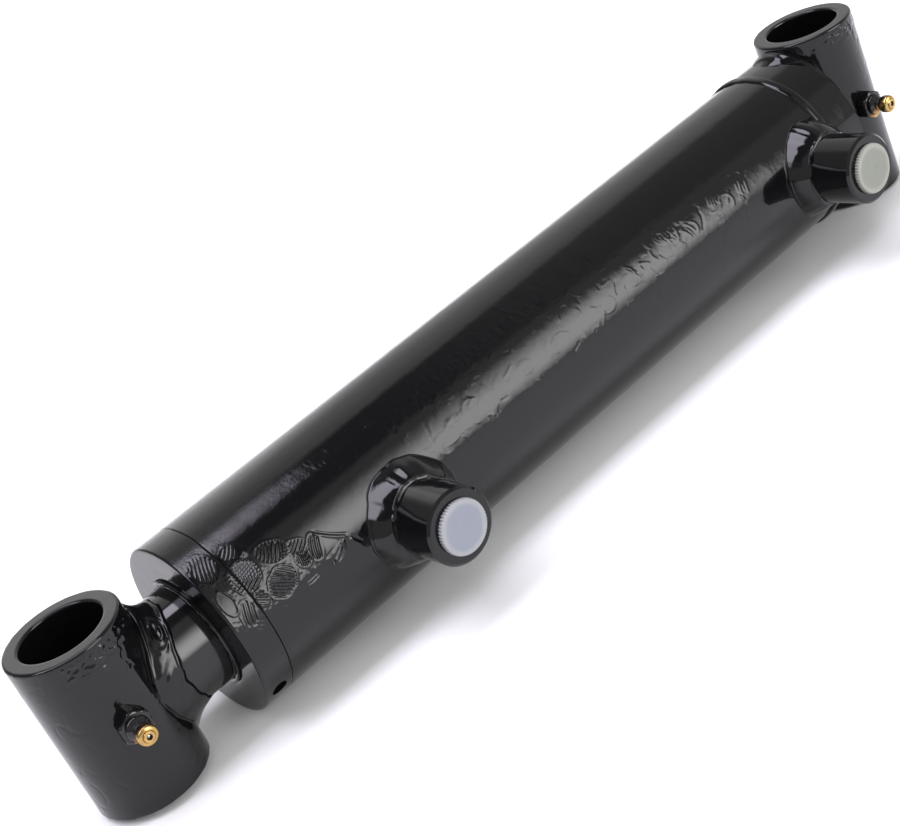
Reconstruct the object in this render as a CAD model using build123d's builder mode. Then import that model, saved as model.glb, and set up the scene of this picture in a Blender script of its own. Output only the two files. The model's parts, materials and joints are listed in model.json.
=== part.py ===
from build123d import *
import os
from math import cos, pi, radians, sin

# Welded cross-tube hydraulic cylinder, double acting, drawn fully retracted. Millimetres.
# The cylinder axis is X. The base pin axis is Z through the origin, the rod end points
# toward -X and both ports face -Y. A "distance" is measured from the base pin axis
# toward the rod end, so a point at distance d lies at X = -d.

os.makedirs("parts", exist_ok=True)

# ---- driving dimensions ----
bore_radius = 38.10
barrel_radius = 44.45
rod_radius = 25.40
stroke = 254.0
retracted_length = 514.35

pin_bore_radius = 19.30
cross_tube_radius = 27.0
base_tube_length = 100.0
rod_tube_length = 82.55
tube_edge_chamfer = 1.1

# distances along the cylinder
cap_outer_face = 26.6
seam_weld_start = 49.0
barrel_start = 54.3
cap_inner_face = 57.0
barrel_end = 449.9
gland_face = 465.1
base_port = 66.0
rod_port = 366.7

# ports
boss_radius = 17.6
boss_face = 76.7
boss_chamfer = 1.2
port_thread_radius = 9.525
port_thread_depth = 17.0
port_passage_radius = 6.35
plug_fit = 0.06
plug_flange_radius = 12.65
plug_flange_height = 2.5
plug_stem_length = 12.0
plug_wall = 1.6
plug_teeth = 64
plug_tooth_depth = 0.35

# piston
rod_tail = 58.0
rod_nose = 494.0
nut_start = 58.6
piston_start = 73.0
piston_end = 106.0
piston_radius = 37.90
spigot_radius = 15.875
spigot_fit = 0.03
nut_across_flats = 41.3
wear_ring_width = 6.3
wear_ring_centres = (79.2, 99.8)
wear_groove_radius = 35.6
piston_seal_centre = 89.5
piston_seal_width = 6.3
piston_seal_groove_radius = 32.4
energizer_radius = 1.75
piston_seal_inner_radius = 36.0
sliding_fit = 0.04

# gland
gland_nose = 360.5
gland_shoulder = 376.0
gland_nose_radius = 33.5
gland_fit = 0.05
gland_bore_radius = 25.70
guide_ring_centres = (388.0, 424.0)
guide_ring_width = 9.6
guide_groove_radius = 28.0
rod_seal_centre = 440.0
rod_seal_width = 8.0
rod_seal_groove_radius = 31.8
static_groove_start = 400.0
static_groove_end = 406.4
static_groove_radius = 34.9
gland_o_ring_radius = 1.60
wiper_groove_start = 454.6
wiper_groove_end = 460.4
wiper_groove_radius = 30.6
wiper_lip_radius = 28.1
wiper_lip_proud = 1.4
gland_edge_chamfer = 1.0
seam_line_chamfer = 0.5
spanner_hole_radius = 4.0
spanner_hole_depth = 6.5
spanner_hole_distance = 457.5
spanner_hole_angle = 38.7

# grease fittings, heights measured from the pin axis
fitting_thread_radius = 4.85
fitting_across_flats = 14.0
fitting_hex_start = 27.2
fitting_hex_end = 32.6
fitting_tip = 44.5
fitting_head_radius = 4.6
fitting_neck_radius = 3.3
fitting_channel_radius = 1.45
fitting_mouth_radius = 0.95
grease_ball_radius = 1.30
spring_radius = 1.0
spring_wire_radius = 0.2
rod_fitting_tilt = 4.5
fitting_offset = 1.3  # both fittings sit this far toward +Z of the cylinder axis

joint_gap = 0.02
tool_length = 200.0

# ---- construction planes ----
# Lengthwise half section: local x is the distance, local y is the radius.
SECTION = Plane(origin=(0, 0, 0), x_dir=(-1, 0, 0), z_dir=(0, 1, 0))


def across(distance):
    """Plane square to the cylinder: local x is +Y and local y is -Z."""
    return Plane(origin=(-distance, 0, 0), x_dir=(0, 1, 0), z_dir=(-1, 0, 0))


def above(distance, height):
    """Plane square to a port axis, facing outward, at a height from the cylinder axis."""
    return Plane(origin=(-distance, -height, 0), x_dir=(1, 0, 0), z_dir=(0, -1, 0))


def port_section(distance):
    """Half section through a port: local x is the radius, local y the height."""
    return Plane(origin=(-distance, 0, 0), x_dir=(1, 0, 0), z_dir=(0, 0, -1))


def port_axis(distance):
    return Axis((-distance, 0, 0), (0, -1, 0))


def tilted(tilt):
    """Outward direction of a grease fitting and the direction square to it."""
    outward = (-sin(radians(tilt)), -cos(radians(tilt)), 0)
    sideways = (cos(radians(tilt)), -sin(radians(tilt)), 0)
    return outward, sideways


def fitting_section(distance, tilt):
    """Half section through a grease fitting: local x is the radius, local y the height."""
    outward, sideways = tilted(tilt)
    return Plane(origin=(-distance, 0, fitting_offset), x_dir=sideways, z_dir=(0, 0, -1))


def fitting_plane(distance, tilt, height):
    """Plane square to a grease fitting at a height from the pin axis."""
    outward, sideways = tilted(tilt)
    origin = (-distance + outward[0] * height, outward[1] * height, fitting_offset)
    return Plane(origin=origin, x_dir=(0, 0, 1), z_dir=outward)


def fitting_axis(distance, tilt):
    outward, sideways = tilted(tilt)
    return Axis((-distance, 0, fitting_offset), outward)


def ring(start, end, inner, outer):
    """Rectangular half-section outline between two distances and two radii."""
    return [(start, inner), (end, inner), (end, outer), (start, outer)]


def toothed_rim(radius, depth, teeth):
    """Outline of a finely serrated disc."""
    points = []
    for tooth in range(teeth):
        for part, reach in ((0.0, radius), (0.35, radius), (0.5, radius - depth), (0.85, radius - depth)):
            angle = 2 * pi * (tooth + part) / teeth
            points.append((reach * cos(angle), reach * sin(angle)))
    return points


# ---- barrel assembly ----
with BuildPart() as barrel_tube:
    with BuildSketch(SECTION):
        Polygon(
            (barrel_start, bore_radius),
            (barrel_end, bore_radius),
            (barrel_end, barrel_radius - seam_line_chamfer),
            (barrel_end - seam_line_chamfer, barrel_radius),
            (barrel_start, barrel_radius),
            align=None,
        )
    revolve(axis=Axis.X)
    for port in (base_port, rod_port):
        with BuildSketch(above(port, 0)):
            Circle(port_passage_radius)
        extrude(amount=barrel_radius + 1, mode=Mode.SUBTRACT)
barrel_tube.part.label = "barrel_tube"
export_step(barrel_tube.part, "parts/barrel_tube.step")

with BuildPart() as base_cap:
    with BuildSketch(SECTION):
        Polygon(
            (cap_outer_face, 0),
            (cap_outer_face, barrel_radius - 0.8),
            (cap_outer_face + 0.8, barrel_radius),
            (seam_weld_start, barrel_radius),
            (barrel_start, bore_radius + 1.5),
            (barrel_start, bore_radius - gland_fit),
            (cap_inner_face - 0.6, bore_radius - gland_fit),
            (cap_inner_face, bore_radius - 0.6),
            (cap_inner_face, 0),
            align=None,
        )
    revolve(axis=Axis.X)
    Cylinder(cross_tube_radius, base_tube_length, mode=Mode.SUBTRACT)
base_cap.part.label = "base_cap"
export_step(base_cap.part, "parts/base_cap.step")

with BuildPart() as base_cross_tube:
    Cylinder(cross_tube_radius, base_tube_length)
    Cylinder(pin_bore_radius, base_tube_length, mode=Mode.SUBTRACT)
    chamfer(base_cross_tube.edges().filter_by(GeomType.CIRCLE), length=tube_edge_chamfer)
    with BuildSketch(fitting_plane(0, 0, 0)):
        Circle(fitting_thread_radius)
    extrude(amount=cross_tube_radius + 1, mode=Mode.SUBTRACT)
base_cross_tube.part.label = "base_cross_tube"
export_step(base_cross_tube.part, "parts/base_cross_tube.step")

# Fillet weld blending the flat end of the cap into the cross tube: half widths along Y
# and Z of its outline at a series of distances.
base_weld_outline = (
    (8.0, 24.0, 30.0),
    (14.0, 27.0, 37.0),
    (20.0, 31.5, 43.0),
    (25.0, 35.0, 47.0),
    (29.0, 31.0, 48.2),
    (33.5, 27.0, 46.2),
    (38.5, 20.0, 44.4),
)
with BuildPart() as base_cross_tube_weld:
    for distance, half_y, half_z in base_weld_outline:
        with BuildSketch(across(distance)):
            Ellipse(half_y, half_z)
    loft()
    with Locations(Location((-(cap_outer_face + tool_length / 2), 0, 0), (0, 90, 0))):
        Cylinder(barrel_radius, tool_length, mode=Mode.SUBTRACT)
    add(base_cap.part, mode=Mode.SUBTRACT)
    Cylinder(cross_tube_radius, base_tube_length + 20, mode=Mode.SUBTRACT)
base_cross_tube_weld.part.label = "base_cross_tube_weld"
export_step(base_cross_tube_weld.part, "parts/base_cross_tube_weld.step")

with BuildPart() as base_cap_weld:
    with BuildSketch(SECTION):
        with BuildLine():
            groove = Polyline(
                (seam_weld_start, barrel_radius),
                (barrel_start, bore_radius + 1.5),
                (barrel_start, barrel_radius),
            )
            ThreePointArc(
                groove @ 1,
                ((seam_weld_start + barrel_start) / 2, barrel_radius + 1.3),
                groove @ 0,
            )
        make_face()
    revolve(axis=Axis.X)
    with BuildSketch(above(base_port, 0)):
        Circle(boss_radius + joint_gap)
    extrude(amount=tool_length, mode=Mode.SUBTRACT)
base_cap_weld.part.label = "base_cap_weld"
export_step(base_cap_weld.part, "parts/base_cap_weld.step")


def boss_outline():
    """Half section of a port boss: bore, thread, face chamfer and outer wall."""
    thread_floor = boss_face - port_thread_depth
    return (
        (port_passage_radius, barrel_radius - 12),
        (port_passage_radius, thread_floor),
        (port_thread_radius, thread_floor),
        (port_thread_radius, boss_face - 0.6),
        (port_thread_radius + 0.6, boss_face),
        (boss_radius - boss_chamfer, boss_face),
        (boss_radius, boss_face - boss_chamfer),
        (boss_radius, barrel_radius - 12),
    )


with BuildPart() as base_port_boss:
    with BuildSketch(port_section(base_port)):
        Polygon(*boss_outline(), align=None)
    revolve(axis=port_axis(base_port))
    with Locations(Location((-base_port, 0, 0), (0, 90, 0))):
        Cylinder(barrel_radius, tool_length, mode=Mode.SUBTRACT)
base_port_boss.part.label = "base_port_boss"
export_step(base_port_boss.part, "parts/base_port_boss.step")

with BuildPart() as rod_port_boss:
    with BuildSketch(port_section(rod_port)):
        Polygon(*boss_outline(), align=None)
    revolve(axis=port_axis(rod_port))
    with Locations(Location((-rod_port, 0, 0), (0, 90, 0))):
        Cylinder(barrel_radius, tool_length, mode=Mode.SUBTRACT)
rod_port_boss.part.label = "rod_port_boss"
export_step(rod_port_boss.part, "parts/rod_port_boss.step")

# Fillet weld around a port boss: half widths along X and Z of its outline at a series
# of heights above the cylinder axis.
port_weld_outline = (
    (57.5, 17.7, 17.7),
    (55.0, 19.0, 19.0),
    (51.5, 20.8, 20.4),
    (48.0, 22.8, 21.3),
    (44.6, 25.2, 22.0),
    (41.5, 26.0, 23.0),
    (38.0, 26.0, 24.4),
)
with BuildPart() as rod_port_weld:
    for height, half_x, half_z in port_weld_outline:
        with BuildSketch(above(rod_port, height)):
            Ellipse(half_x, half_z)
    loft()
    with Locations(Location((-rod_port, 0, 0), (0, 90, 0))):
        Cylinder(barrel_radius, tool_length, mode=Mode.SUBTRACT)
    with Locations(Location((-rod_port, -barrel_radius, 0), (90, 0, 0))):
        Cylinder(boss_radius, tool_length, mode=Mode.SUBTRACT)
rod_port_weld.part.label = "rod_port_weld"
export_step(rod_port_weld.part, "parts/rod_port_weld.step")

base_weld_reach = 0.95
with BuildPart() as base_port_weld:
    for height, half_x, half_z in port_weld_outline:
        scale_x = base_weld_reach if half_x > 20 else 1.0
        with BuildSketch(above(base_port, height)):
            Ellipse(half_x * scale_x, half_z)
    loft()
    with Locations(Location((-base_port, 0, 0), (0, 90, 0))):
        Cylinder(barrel_radius, tool_length, mode=Mode.SUBTRACT)
    with Locations(Location((-base_port, -barrel_radius, 0), (90, 0, 0))):
        Cylinder(boss_radius, tool_length, mode=Mode.SUBTRACT)
    add(base_cap_weld.part, mode=Mode.SUBTRACT)
base_port_weld.part.label = "base_port_weld"
export_step(base_port_weld.part, "parts/base_port_weld.step")

with BuildPart() as gland:
    with BuildSketch(SECTION):
        Polygon(
            (gland_nose, gland_bore_radius),
            (gland_face, gland_bore_radius),
            (gland_face, barrel_radius - gland_edge_chamfer),
            (gland_face - gland_edge_chamfer, barrel_radius),
            (barrel_end + joint_gap + seam_line_chamfer, barrel_radius),
            (barrel_end + joint_gap, barrel_radius - seam_line_chamfer),
            (barrel_end + joint_gap, bore_radius - gland_fit),
            (gland_shoulder, bore_radius - gland_fit),
            (gland_shoulder, gland_nose_radius),
            (gland_nose, gland_nose_radius),
            align=None,
        )
        for centre in guide_ring_centres:
            half = guide_ring_width / 2 + joint_gap
            Polygon(
                *ring(centre - half, centre + half, rod_radius, guide_groove_radius),
                align=None,
                mode=Mode.SUBTRACT,
            )
        half = rod_seal_width / 2 + joint_gap
        Polygon(
            *ring(rod_seal_centre - half, rod_seal_centre + half, rod_radius, rod_seal_groove_radius),
            align=None,
            mode=Mode.SUBTRACT,
        )
        Polygon(
            *ring(static_groove_start, static_groove_end, static_groove_radius, bore_radius),
            align=None,
            mode=Mode.SUBTRACT,
        )
        Polygon(
            *ring(wiper_groove_start, wiper_groove_end, rod_radius, wiper_groove_radius),
            align=None,
            mode=Mode.SUBTRACT,
        )
        Polygon(
            *ring(wiper_groove_end, gland_face, rod_radius, wiper_lip_radius + joint_gap),
            align=None,
            mode=Mode.SUBTRACT,
        )
    revolve(axis=Axis.X)
    for side in (0, 180):
        angle = radians(spanner_hole_angle + side)
        outward = (0, -cos(angle), -sin(angle))
        floor = barrel_radius - spanner_hole_depth
        origin = (-spanner_hole_distance, outward[1] * floor, outward[2] * floor)
        with BuildSketch(Plane(origin=origin, x_dir=(1, 0, 0), z_dir=outward)):
            Circle(spanner_hole_radius)
        extrude(amount=2 * spanner_hole_depth, mode=Mode.SUBTRACT)
gland.part.label = "gland"
export_step(gland.part, "parts/gland.step")

with BuildPart() as gland_o_ring:
    with BuildSketch(SECTION):
        with Locations((static_groove_start + gland_o_ring_radius + 0.05,
                        bore_radius - joint_gap - gland_o_ring_radius)):
            Circle(gland_o_ring_radius - joint_gap)
    revolve(axis=Axis.X)
gland_o_ring.part.label = "gland_o_ring"
export_step(gland_o_ring.part, "parts/gland_o_ring.step")

with BuildPart() as gland_backup_ring:
    with BuildSketch(SECTION):
        Polygon(
            *ring(
                static_groove_start + 2 * gland_o_ring_radius + 0.2,
                static_groove_end - 0.3,
                static_groove_radius + joint_gap,
                bore_radius - joint_gap,
            ),
            align=None,
        )
    revolve(axis=Axis.X)
gland_backup_ring.part.label = "gland_backup_ring"
export_step(gland_backup_ring.part, "parts/gland_backup_ring.step")

with BuildPart() as rod_seal:
    with BuildSketch(SECTION):
        # U-cup opening toward the oil side
        start = rod_seal_centre - rod_seal_width / 2
        end = rod_seal_centre + rod_seal_width / 2
        inner = rod_radius + sliding_fit
        outer = rod_seal_groove_radius - joint_gap
        middle = (inner + outer) / 2
        Polygon(
            (start, inner),
            (end, inner),
            (end, outer),
            (start, outer),
            (start, middle + 1.0),
            (start + 3.2, middle),
            (start, middle - 1.0),
            align=None,
        )
    revolve(axis=Axis.X)
rod_seal.part.label = "rod_seal"
export_step(rod_seal.part, "parts/rod_seal.step")

with BuildPart() as rod_wiper:
    with BuildSketch(SECTION):
        Polygon(
            (wiper_groove_start + 0.1, rod_radius + 0.8),
            (wiper_groove_start + 0.1, wiper_groove_radius - joint_gap),
            (wiper_groove_end - 0.1, wiper_groove_radius - joint_gap),
            (wiper_groove_end - 0.1, wiper_lip_radius),
            (gland_face + wiper_lip_proud - 0.5, wiper_lip_radius),
            (gland_face + wiper_lip_proud, wiper_lip_radius - 0.5),
            (gland_face + wiper_lip_proud, rod_radius + 1.2),
            (gland_face + wiper_lip_proud - 0.8, rod_radius + sliding_fit),
            (gland_face - 0.6, rod_radius + sliding_fit),
            (wiper_groove_end - 1.0, rod_radius + 0.8),
            align=None,
        )
    revolve(axis=Axis.X)
rod_wiper.part.label = "rod_wiper"
export_step(rod_wiper.part, "parts/rod_wiper.step")

with BuildPart() as rod_guide_ring_inner:
    with BuildSketch(SECTION):
        Polygon(
            *ring(
                guide_ring_centres[0] - guide_ring_width / 2,
                guide_ring_centres[0] + guide_ring_width / 2,
                rod_radius + sliding_fit,
                guide_groove_radius - joint_gap,
            ),
            align=None,
        )
    revolve(axis=Axis.X)
rod_guide_ring_inner.part.label = "rod_guide_ring_inner"
export_step(rod_guide_ring_inner.part, "parts/rod_guide_ring_inner.step")

with BuildPart() as rod_guide_ring_outer:
    with BuildSketch(SECTION):
        Polygon(
            *ring(
                guide_ring_centres[1] - guide_ring_width / 2,
                guide_ring_centres[1] + guide_ring_width / 2,
                rod_radius + sliding_fit,
                guide_groove_radius - joint_gap,
            ),
            align=None,
        )
    revolve(axis=Axis.X)
rod_guide_ring_outer.part.label = "rod_guide_ring_outer"
export_step(rod_guide_ring_outer.part, "parts/rod_guide_ring_outer.step")


# ---- grease fittings ----
def fitting_outline():
    """Half section of a grease fitting's turned parts, from its thread to its tip."""
    channel = fitting_channel_radius
    mouth = fitting_mouth_radius
    head = fitting_head_radius
    neck = fitting_neck_radius
    return (
        (channel, pin_bore_radius + 1.2),
        (fitting_thread_radius - joint_gap, pin_bore_radius + 1.2),
        (fitting_thread_radius - joint_gap, fitting_hex_end + 0.3),
        (fitting_thread_radius - 0.3, fitting_hex_end + 1.2),
        (neck + 1.5, fitting_hex_end + 2.8),
        (neck, fitting_hex_end + 4.0),
        (neck, fitting_tip - 5.6),
        (head - 0.4, fitting_tip - 5.0),
        (head, fitting_tip - 4.2),
        (head, fitting_tip - 3.2),
        (head - 0.7, fitting_tip - 1.7),
        (mouth + 1.7, fitting_tip - 0.1),
        (mouth + 0.4, fitting_tip),
        (mouth, fitting_tip),
        (mouth, fitting_tip - 0.9),
        (channel, fitting_tip - 1.4),
    )


ball_height = fitting_tip - 0.75 - grease_ball_radius
spring_top = ball_height - grease_ball_radius
spring_turns = 7
spring_length = 8.4
spring_start = spring_top - spring_length - spring_wire_radius - joint_gap

with BuildPart() as base_grease_fitting:
    with BuildSketch(fitting_section(0, 0)):
        Polygon(*fitting_outline(), align=None)
    revolve(axis=fitting_axis(0, 0))
    with BuildSketch(fitting_plane(0, 0, fitting_hex_start)):
        RegularPolygon(fitting_across_flats / 2, 6, major_radius=False)
        Circle(fitting_channel_radius, mode=Mode.SUBTRACT)
    extrude(amount=fitting_hex_end - fitting_hex_start)
base_grease_fitting.part.label = "base_grease_fitting"
export_step(base_grease_fitting.part, "parts/base_grease_fitting.step")

with BuildPart() as base_grease_ball:
    with Locations(fitting_plane(0, 0, ball_height).location):
        Sphere(grease_ball_radius)
base_grease_ball.part.label = "base_grease_ball"
export_step(base_grease_ball.part, "parts/base_grease_ball.step")

with BuildPart() as base_grease_spring:
    foot = fitting_plane(0, 0, spring_start)
    with BuildLine() as coil:
        Helix(spring_length / spring_turns, spring_length, spring_radius,
              center=foot.origin, direction=foot.z_dir)
    with BuildSketch(Plane(origin=coil.line @ 0, z_dir=coil.line % 0)):
        Circle(spring_wire_radius)
    sweep(path=coil.line, is_frenet=True)
base_grease_spring.part.label = "base_grease_spring"
export_step(base_grease_spring.part, "parts/base_grease_spring.step")

# ---- piston and rod ----
with BuildPart() as piston:
    with BuildSketch(SECTION):
        Polygon(
            (piston_start, spigot_radius + spigot_fit),
            (piston_end, spigot_radius + spigot_fit),
            (piston_end, piston_radius - 1.0),
            (piston_end - 1.0, piston_radius),
            (piston_start + 1.0, piston_radius),
            (piston_start, piston_radius - 1.0),
            align=None,
        )
        for centre in wear_ring_centres:
            half = wear_ring_width / 2 + joint_gap
            Polygon(
                *ring(centre - half, centre + half, wear_groove_radius, bore_radius),
                align=None,
                mode=Mode.SUBTRACT,
            )
        half = piston_seal_width / 2 + joint_gap
        Polygon(
            *ring(piston_seal_centre - half, piston_seal_centre + half,
                  piston_seal_groove_radius, bore_radius),
            align=None,
            mode=Mode.SUBTRACT,
        )
        Polygon(
            *ring(piston_seal_centre - 1.9, piston_seal_centre + 1.9, spigot_radius, spigot_radius + 2.6),
            align=None,
            mode=Mode.SUBTRACT,
        )
    revolve(axis=Axis.X)
piston.part.label = "piston"
export_step(piston.part, "parts/piston.step")

with BuildPart() as piston_o_ring:
    with BuildSketch(SECTION):
        with Locations((piston_seal_centre, spigot_radius + spigot_fit + 1.28)):
            Circle(1.25)
    revolve(axis=Axis.X)
piston_o_ring.part.label = "piston_o_ring"
export_step(piston_o_ring.part, "parts/piston_o_ring.step")

with BuildPart() as piston_seal:
    with BuildSketch(SECTION):
        Polygon(
            *ring(
                piston_seal_centre - piston_seal_width / 2,
                piston_seal_centre + piston_seal_width / 2,
                piston_seal_inner_radius,
                bore_radius - sliding_fit,
            ),
            align=None,
        )
    revolve(axis=Axis.X)
piston_seal.part.label = "piston_seal"
export_step(piston_seal.part, "parts/piston_seal.step")

with BuildPart() as piston_seal_energizer:
    with BuildSketch(SECTION):
        with Locations((piston_seal_centre, (piston_seal_groove_radius + piston_seal_inner_radius) / 2)):
            Circle(energizer_radius)
    revolve(axis=Axis.X)
piston_seal_energizer.part.label = "piston_seal_energizer"
export_step(piston_seal_energizer.part, "parts/piston_seal_energizer.step")

with BuildPart() as piston_wear_ring_rear:
    with BuildSketch(SECTION):
        Polygon(
            *ring(
                wear_ring_centres[0] - wear_ring_width / 2,
                wear_ring_centres[0] + wear_ring_width / 2,
                wear_groove_radius + sliding_fit,
                bore_radius - sliding_fit,
            ),
            align=None,
        )
    revolve(axis=Axis.X)
piston_wear_ring_rear.part.label = "piston_wear_ring_rear"
export_step(piston_wear_ring_rear.part, "parts/piston_wear_ring_rear.step")

with BuildPart() as piston_wear_ring_front:
    with BuildSketch(SECTION):
        Polygon(
            *ring(
                wear_ring_centres[1] - wear_ring_width / 2,
                wear_ring_centres[1] + wear_ring_width / 2,
                wear_groove_radius + sliding_fit,
                bore_radius - sliding_fit,
            ),
            align=None,
        )
    revolve(axis=Axis.X)
piston_wear_ring_front.part.label = "piston_wear_ring_front"
export_step(piston_wear_ring_front.part, "parts/piston_wear_ring_front.step")

with BuildPart() as piston_nut:
    with BuildSketch(across(nut_start)):
        RegularPolygon(nut_across_flats / 2, 6, major_radius=False)
        Circle(spigot_radius + spigot_fit, mode=Mode.SUBTRACT)
    extrude(amount=piston_start - nut_start - joint_gap)
piston_nut.part.label = "piston_nut"
export_step(piston_nut.part, "parts/piston_nut.step")

with BuildPart() as piston_rod:
    with BuildSketch(SECTION):
        Polygon(
            (rod_tail, 0),
            (rod_tail, spigot_radius - 1.2),
            (rod_tail + 1.2, spigot_radius),
            (piston_end + joint_gap, spigot_radius),
            (piston_end + joint_gap, rod_radius - 0.6),
            (piston_end + 0.6, rod_radius),
            (rod_nose, rod_radius),
            (rod_nose, 0),
            align=None,
        )
    revolve(axis=Axis.X)
    with Locations((-retracted_length, 0, 0)):
        Cylinder(cross_tube_radius, rod_tube_length, mode=Mode.SUBTRACT)
piston_rod.part.label = "piston_rod"
export_step(piston_rod.part, "parts/piston_rod.step")

with BuildPart() as rod_cross_tube:
    with Locations((-retracted_length, 0, 0)):
        Cylinder(cross_tube_radius, rod_tube_length)
        Cylinder(pin_bore_radius, rod_tube_length, mode=Mode.SUBTRACT)
    chamfer(rod_cross_tube.edges().filter_by(GeomType.CIRCLE), length=tube_edge_chamfer)
    with BuildSketch(fitting_plane(retracted_length, rod_fitting_tilt, 0)):
        Circle(fitting_thread_radius)
    extrude(amount=cross_tube_radius + 1, mode=Mode.SUBTRACT)
rod_cross_tube.part.label = "rod_cross_tube"
export_step(rod_cross_tube.part, "parts/rod_cross_tube.step")

# Flared weld between the rod and its cross tube: half widths along Y and Z of its
# outline at a series of distances.
rod_weld_outline = (
    (472.5, 25.6, 25.7),
    (480.0, 26.4, 30.4),
    (487.2, 28.0, 36.2),
    (494.0, 27.6, 31.0),
    (501.0, 24.2, 24.0),
)
with BuildPart() as rod_eye_weld:
    for distance, half_y, half_z in rod_weld_outline:
        with BuildSketch(across(distance)):
            Ellipse(half_y, half_z)
    loft()
    with Locations(Location((-(rod_nose - tool_length / 2), 0, 0), (0, 90, 0))):
        Cylinder(rod_radius, tool_length, mode=Mode.SUBTRACT)
    with Locations((-retracted_length, 0, 0)):
        Cylinder(cross_tube_radius, rod_tube_length + 20, mode=Mode.SUBTRACT)
rod_eye_weld.part.label = "rod_eye_weld"
export_step(rod_eye_weld.part, "parts/rod_eye_weld.step")

with BuildPart() as rod_grease_fitting:
    with BuildSketch(fitting_section(retracted_length, rod_fitting_tilt)):
        Polygon(*fitting_outline(), align=None)
    revolve(axis=fitting_axis(retracted_length, rod_fitting_tilt))
    with BuildSketch(fitting_plane(retracted_length, rod_fitting_tilt, fitting_hex_start)):
        RegularPolygon(fitting_across_flats / 2, 6, major_radius=False)
        Circle(fitting_channel_radius, mode=Mode.SUBTRACT)
    extrude(amount=fitting_hex_end - fitting_hex_start)
rod_grease_fitting.part.label = "rod_grease_fitting"
export_step(rod_grease_fitting.part, "parts/rod_grease_fitting.step")

with BuildPart() as rod_grease_ball:
    with Locations(fitting_plane(retracted_length, rod_fitting_tilt, ball_height).location):
        Sphere(grease_ball_radius)
rod_grease_ball.part.label = "rod_grease_ball"
export_step(rod_grease_ball.part, "parts/rod_grease_ball.step")

with BuildPart() as rod_grease_spring:
    foot = fitting_plane(retracted_length, rod_fitting_tilt, spring_start)
    with BuildLine() as coil:
        Helix(spring_length / spring_turns, spring_length, spring_radius,
              center=foot.origin, direction=foot.z_dir)
    with BuildSketch(Plane(origin=coil.line @ 0, z_dir=coil.line % 0)):
        Circle(spring_wire_radius)
    sweep(path=coil.line, is_frenet=True)
rod_grease_spring.part.label = "rod_grease_spring"
export_step(rod_grease_spring.part, "parts/rod_grease_spring.step")

# ---- shipping plugs in the two ports ----
with BuildPart() as base_port_plug:
    with BuildSketch(above(base_port, boss_face + joint_gap)):
        Polygon(*toothed_rim(plug_flange_radius, plug_tooth_depth, plug_teeth), align=None)
    extrude(amount=plug_flange_height)
    with BuildSketch(above(base_port, boss_face - plug_stem_length)):
        Circle(port_thread_radius - plug_fit)
        Circle(port_thread_radius - plug_fit - plug_wall, mode=Mode.SUBTRACT)
    extrude(amount=plug_stem_length + joint_gap)
base_port_plug.part.label = "base_port_plug"
export_step(base_port_plug.part, "parts/base_port_plug.step")

with BuildPart() as rod_port_plug:
    with BuildSketch(above(rod_port, boss_face + joint_gap)):
        Polygon(*toothed_rim(plug_flange_radius, plug_tooth_depth, plug_teeth), align=None)
    extrude(amount=plug_flange_height)
    with BuildSketch(above(rod_port, boss_face - plug_stem_length)):
        Circle(port_thread_radius - plug_fit)
        Circle(port_thread_radius - plug_fit - plug_wall, mode=Mode.SUBTRACT)
    extrude(amount=plug_stem_length + joint_gap)
rod_port_plug.part.label = "rod_port_plug"
export_step(rod_port_plug.part, "parts/rod_port_plug.step")
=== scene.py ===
"""Looks of a welded cross-tube hydraulic cylinder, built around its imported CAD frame. Metres."""
import json
import math

import bmesh
import bpy
import numpy as np
from mathutils import Matrix, Vector


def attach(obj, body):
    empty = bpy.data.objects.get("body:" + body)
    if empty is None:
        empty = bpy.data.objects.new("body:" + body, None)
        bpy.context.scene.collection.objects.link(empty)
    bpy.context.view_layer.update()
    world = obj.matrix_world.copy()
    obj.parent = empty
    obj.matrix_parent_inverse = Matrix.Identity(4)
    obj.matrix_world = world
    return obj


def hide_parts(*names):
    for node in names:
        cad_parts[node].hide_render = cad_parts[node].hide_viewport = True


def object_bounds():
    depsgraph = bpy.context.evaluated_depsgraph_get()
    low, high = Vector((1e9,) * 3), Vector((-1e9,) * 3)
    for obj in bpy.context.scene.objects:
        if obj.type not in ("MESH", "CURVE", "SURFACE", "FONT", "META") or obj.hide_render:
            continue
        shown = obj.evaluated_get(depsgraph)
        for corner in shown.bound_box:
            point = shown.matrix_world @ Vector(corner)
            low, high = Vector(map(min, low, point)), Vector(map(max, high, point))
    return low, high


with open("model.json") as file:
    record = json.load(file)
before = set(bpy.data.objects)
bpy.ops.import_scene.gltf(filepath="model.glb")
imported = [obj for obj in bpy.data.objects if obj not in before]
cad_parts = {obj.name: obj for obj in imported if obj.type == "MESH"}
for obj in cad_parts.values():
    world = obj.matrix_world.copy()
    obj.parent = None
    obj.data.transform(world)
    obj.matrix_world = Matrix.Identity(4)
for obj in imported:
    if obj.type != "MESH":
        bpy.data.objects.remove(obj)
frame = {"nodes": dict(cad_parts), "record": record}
cad_low, cad_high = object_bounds()
nodes = frame["nodes"]

MM = 0.001

# ---- camera, at the reference viewing angle ----
CAMERA_PLACE = Vector((-0.6601, -0.6187, 0.3458))
CAMERA_RIGHT = Vector((0.6865, -0.6145, -0.3887))
CAMERA_DOWN = Vector((-0.5780, -0.1368, -0.8045))
CAMERA_LENS = 66.65
CAMERA_SENSOR = 36.0
CAMERA_SHIFT = (-0.0053, 0.0358)


def add_object(name, data):
    made = bpy.data.objects.new(name, data)
    bpy.context.scene.collection.objects.link(made)
    return made


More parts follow.
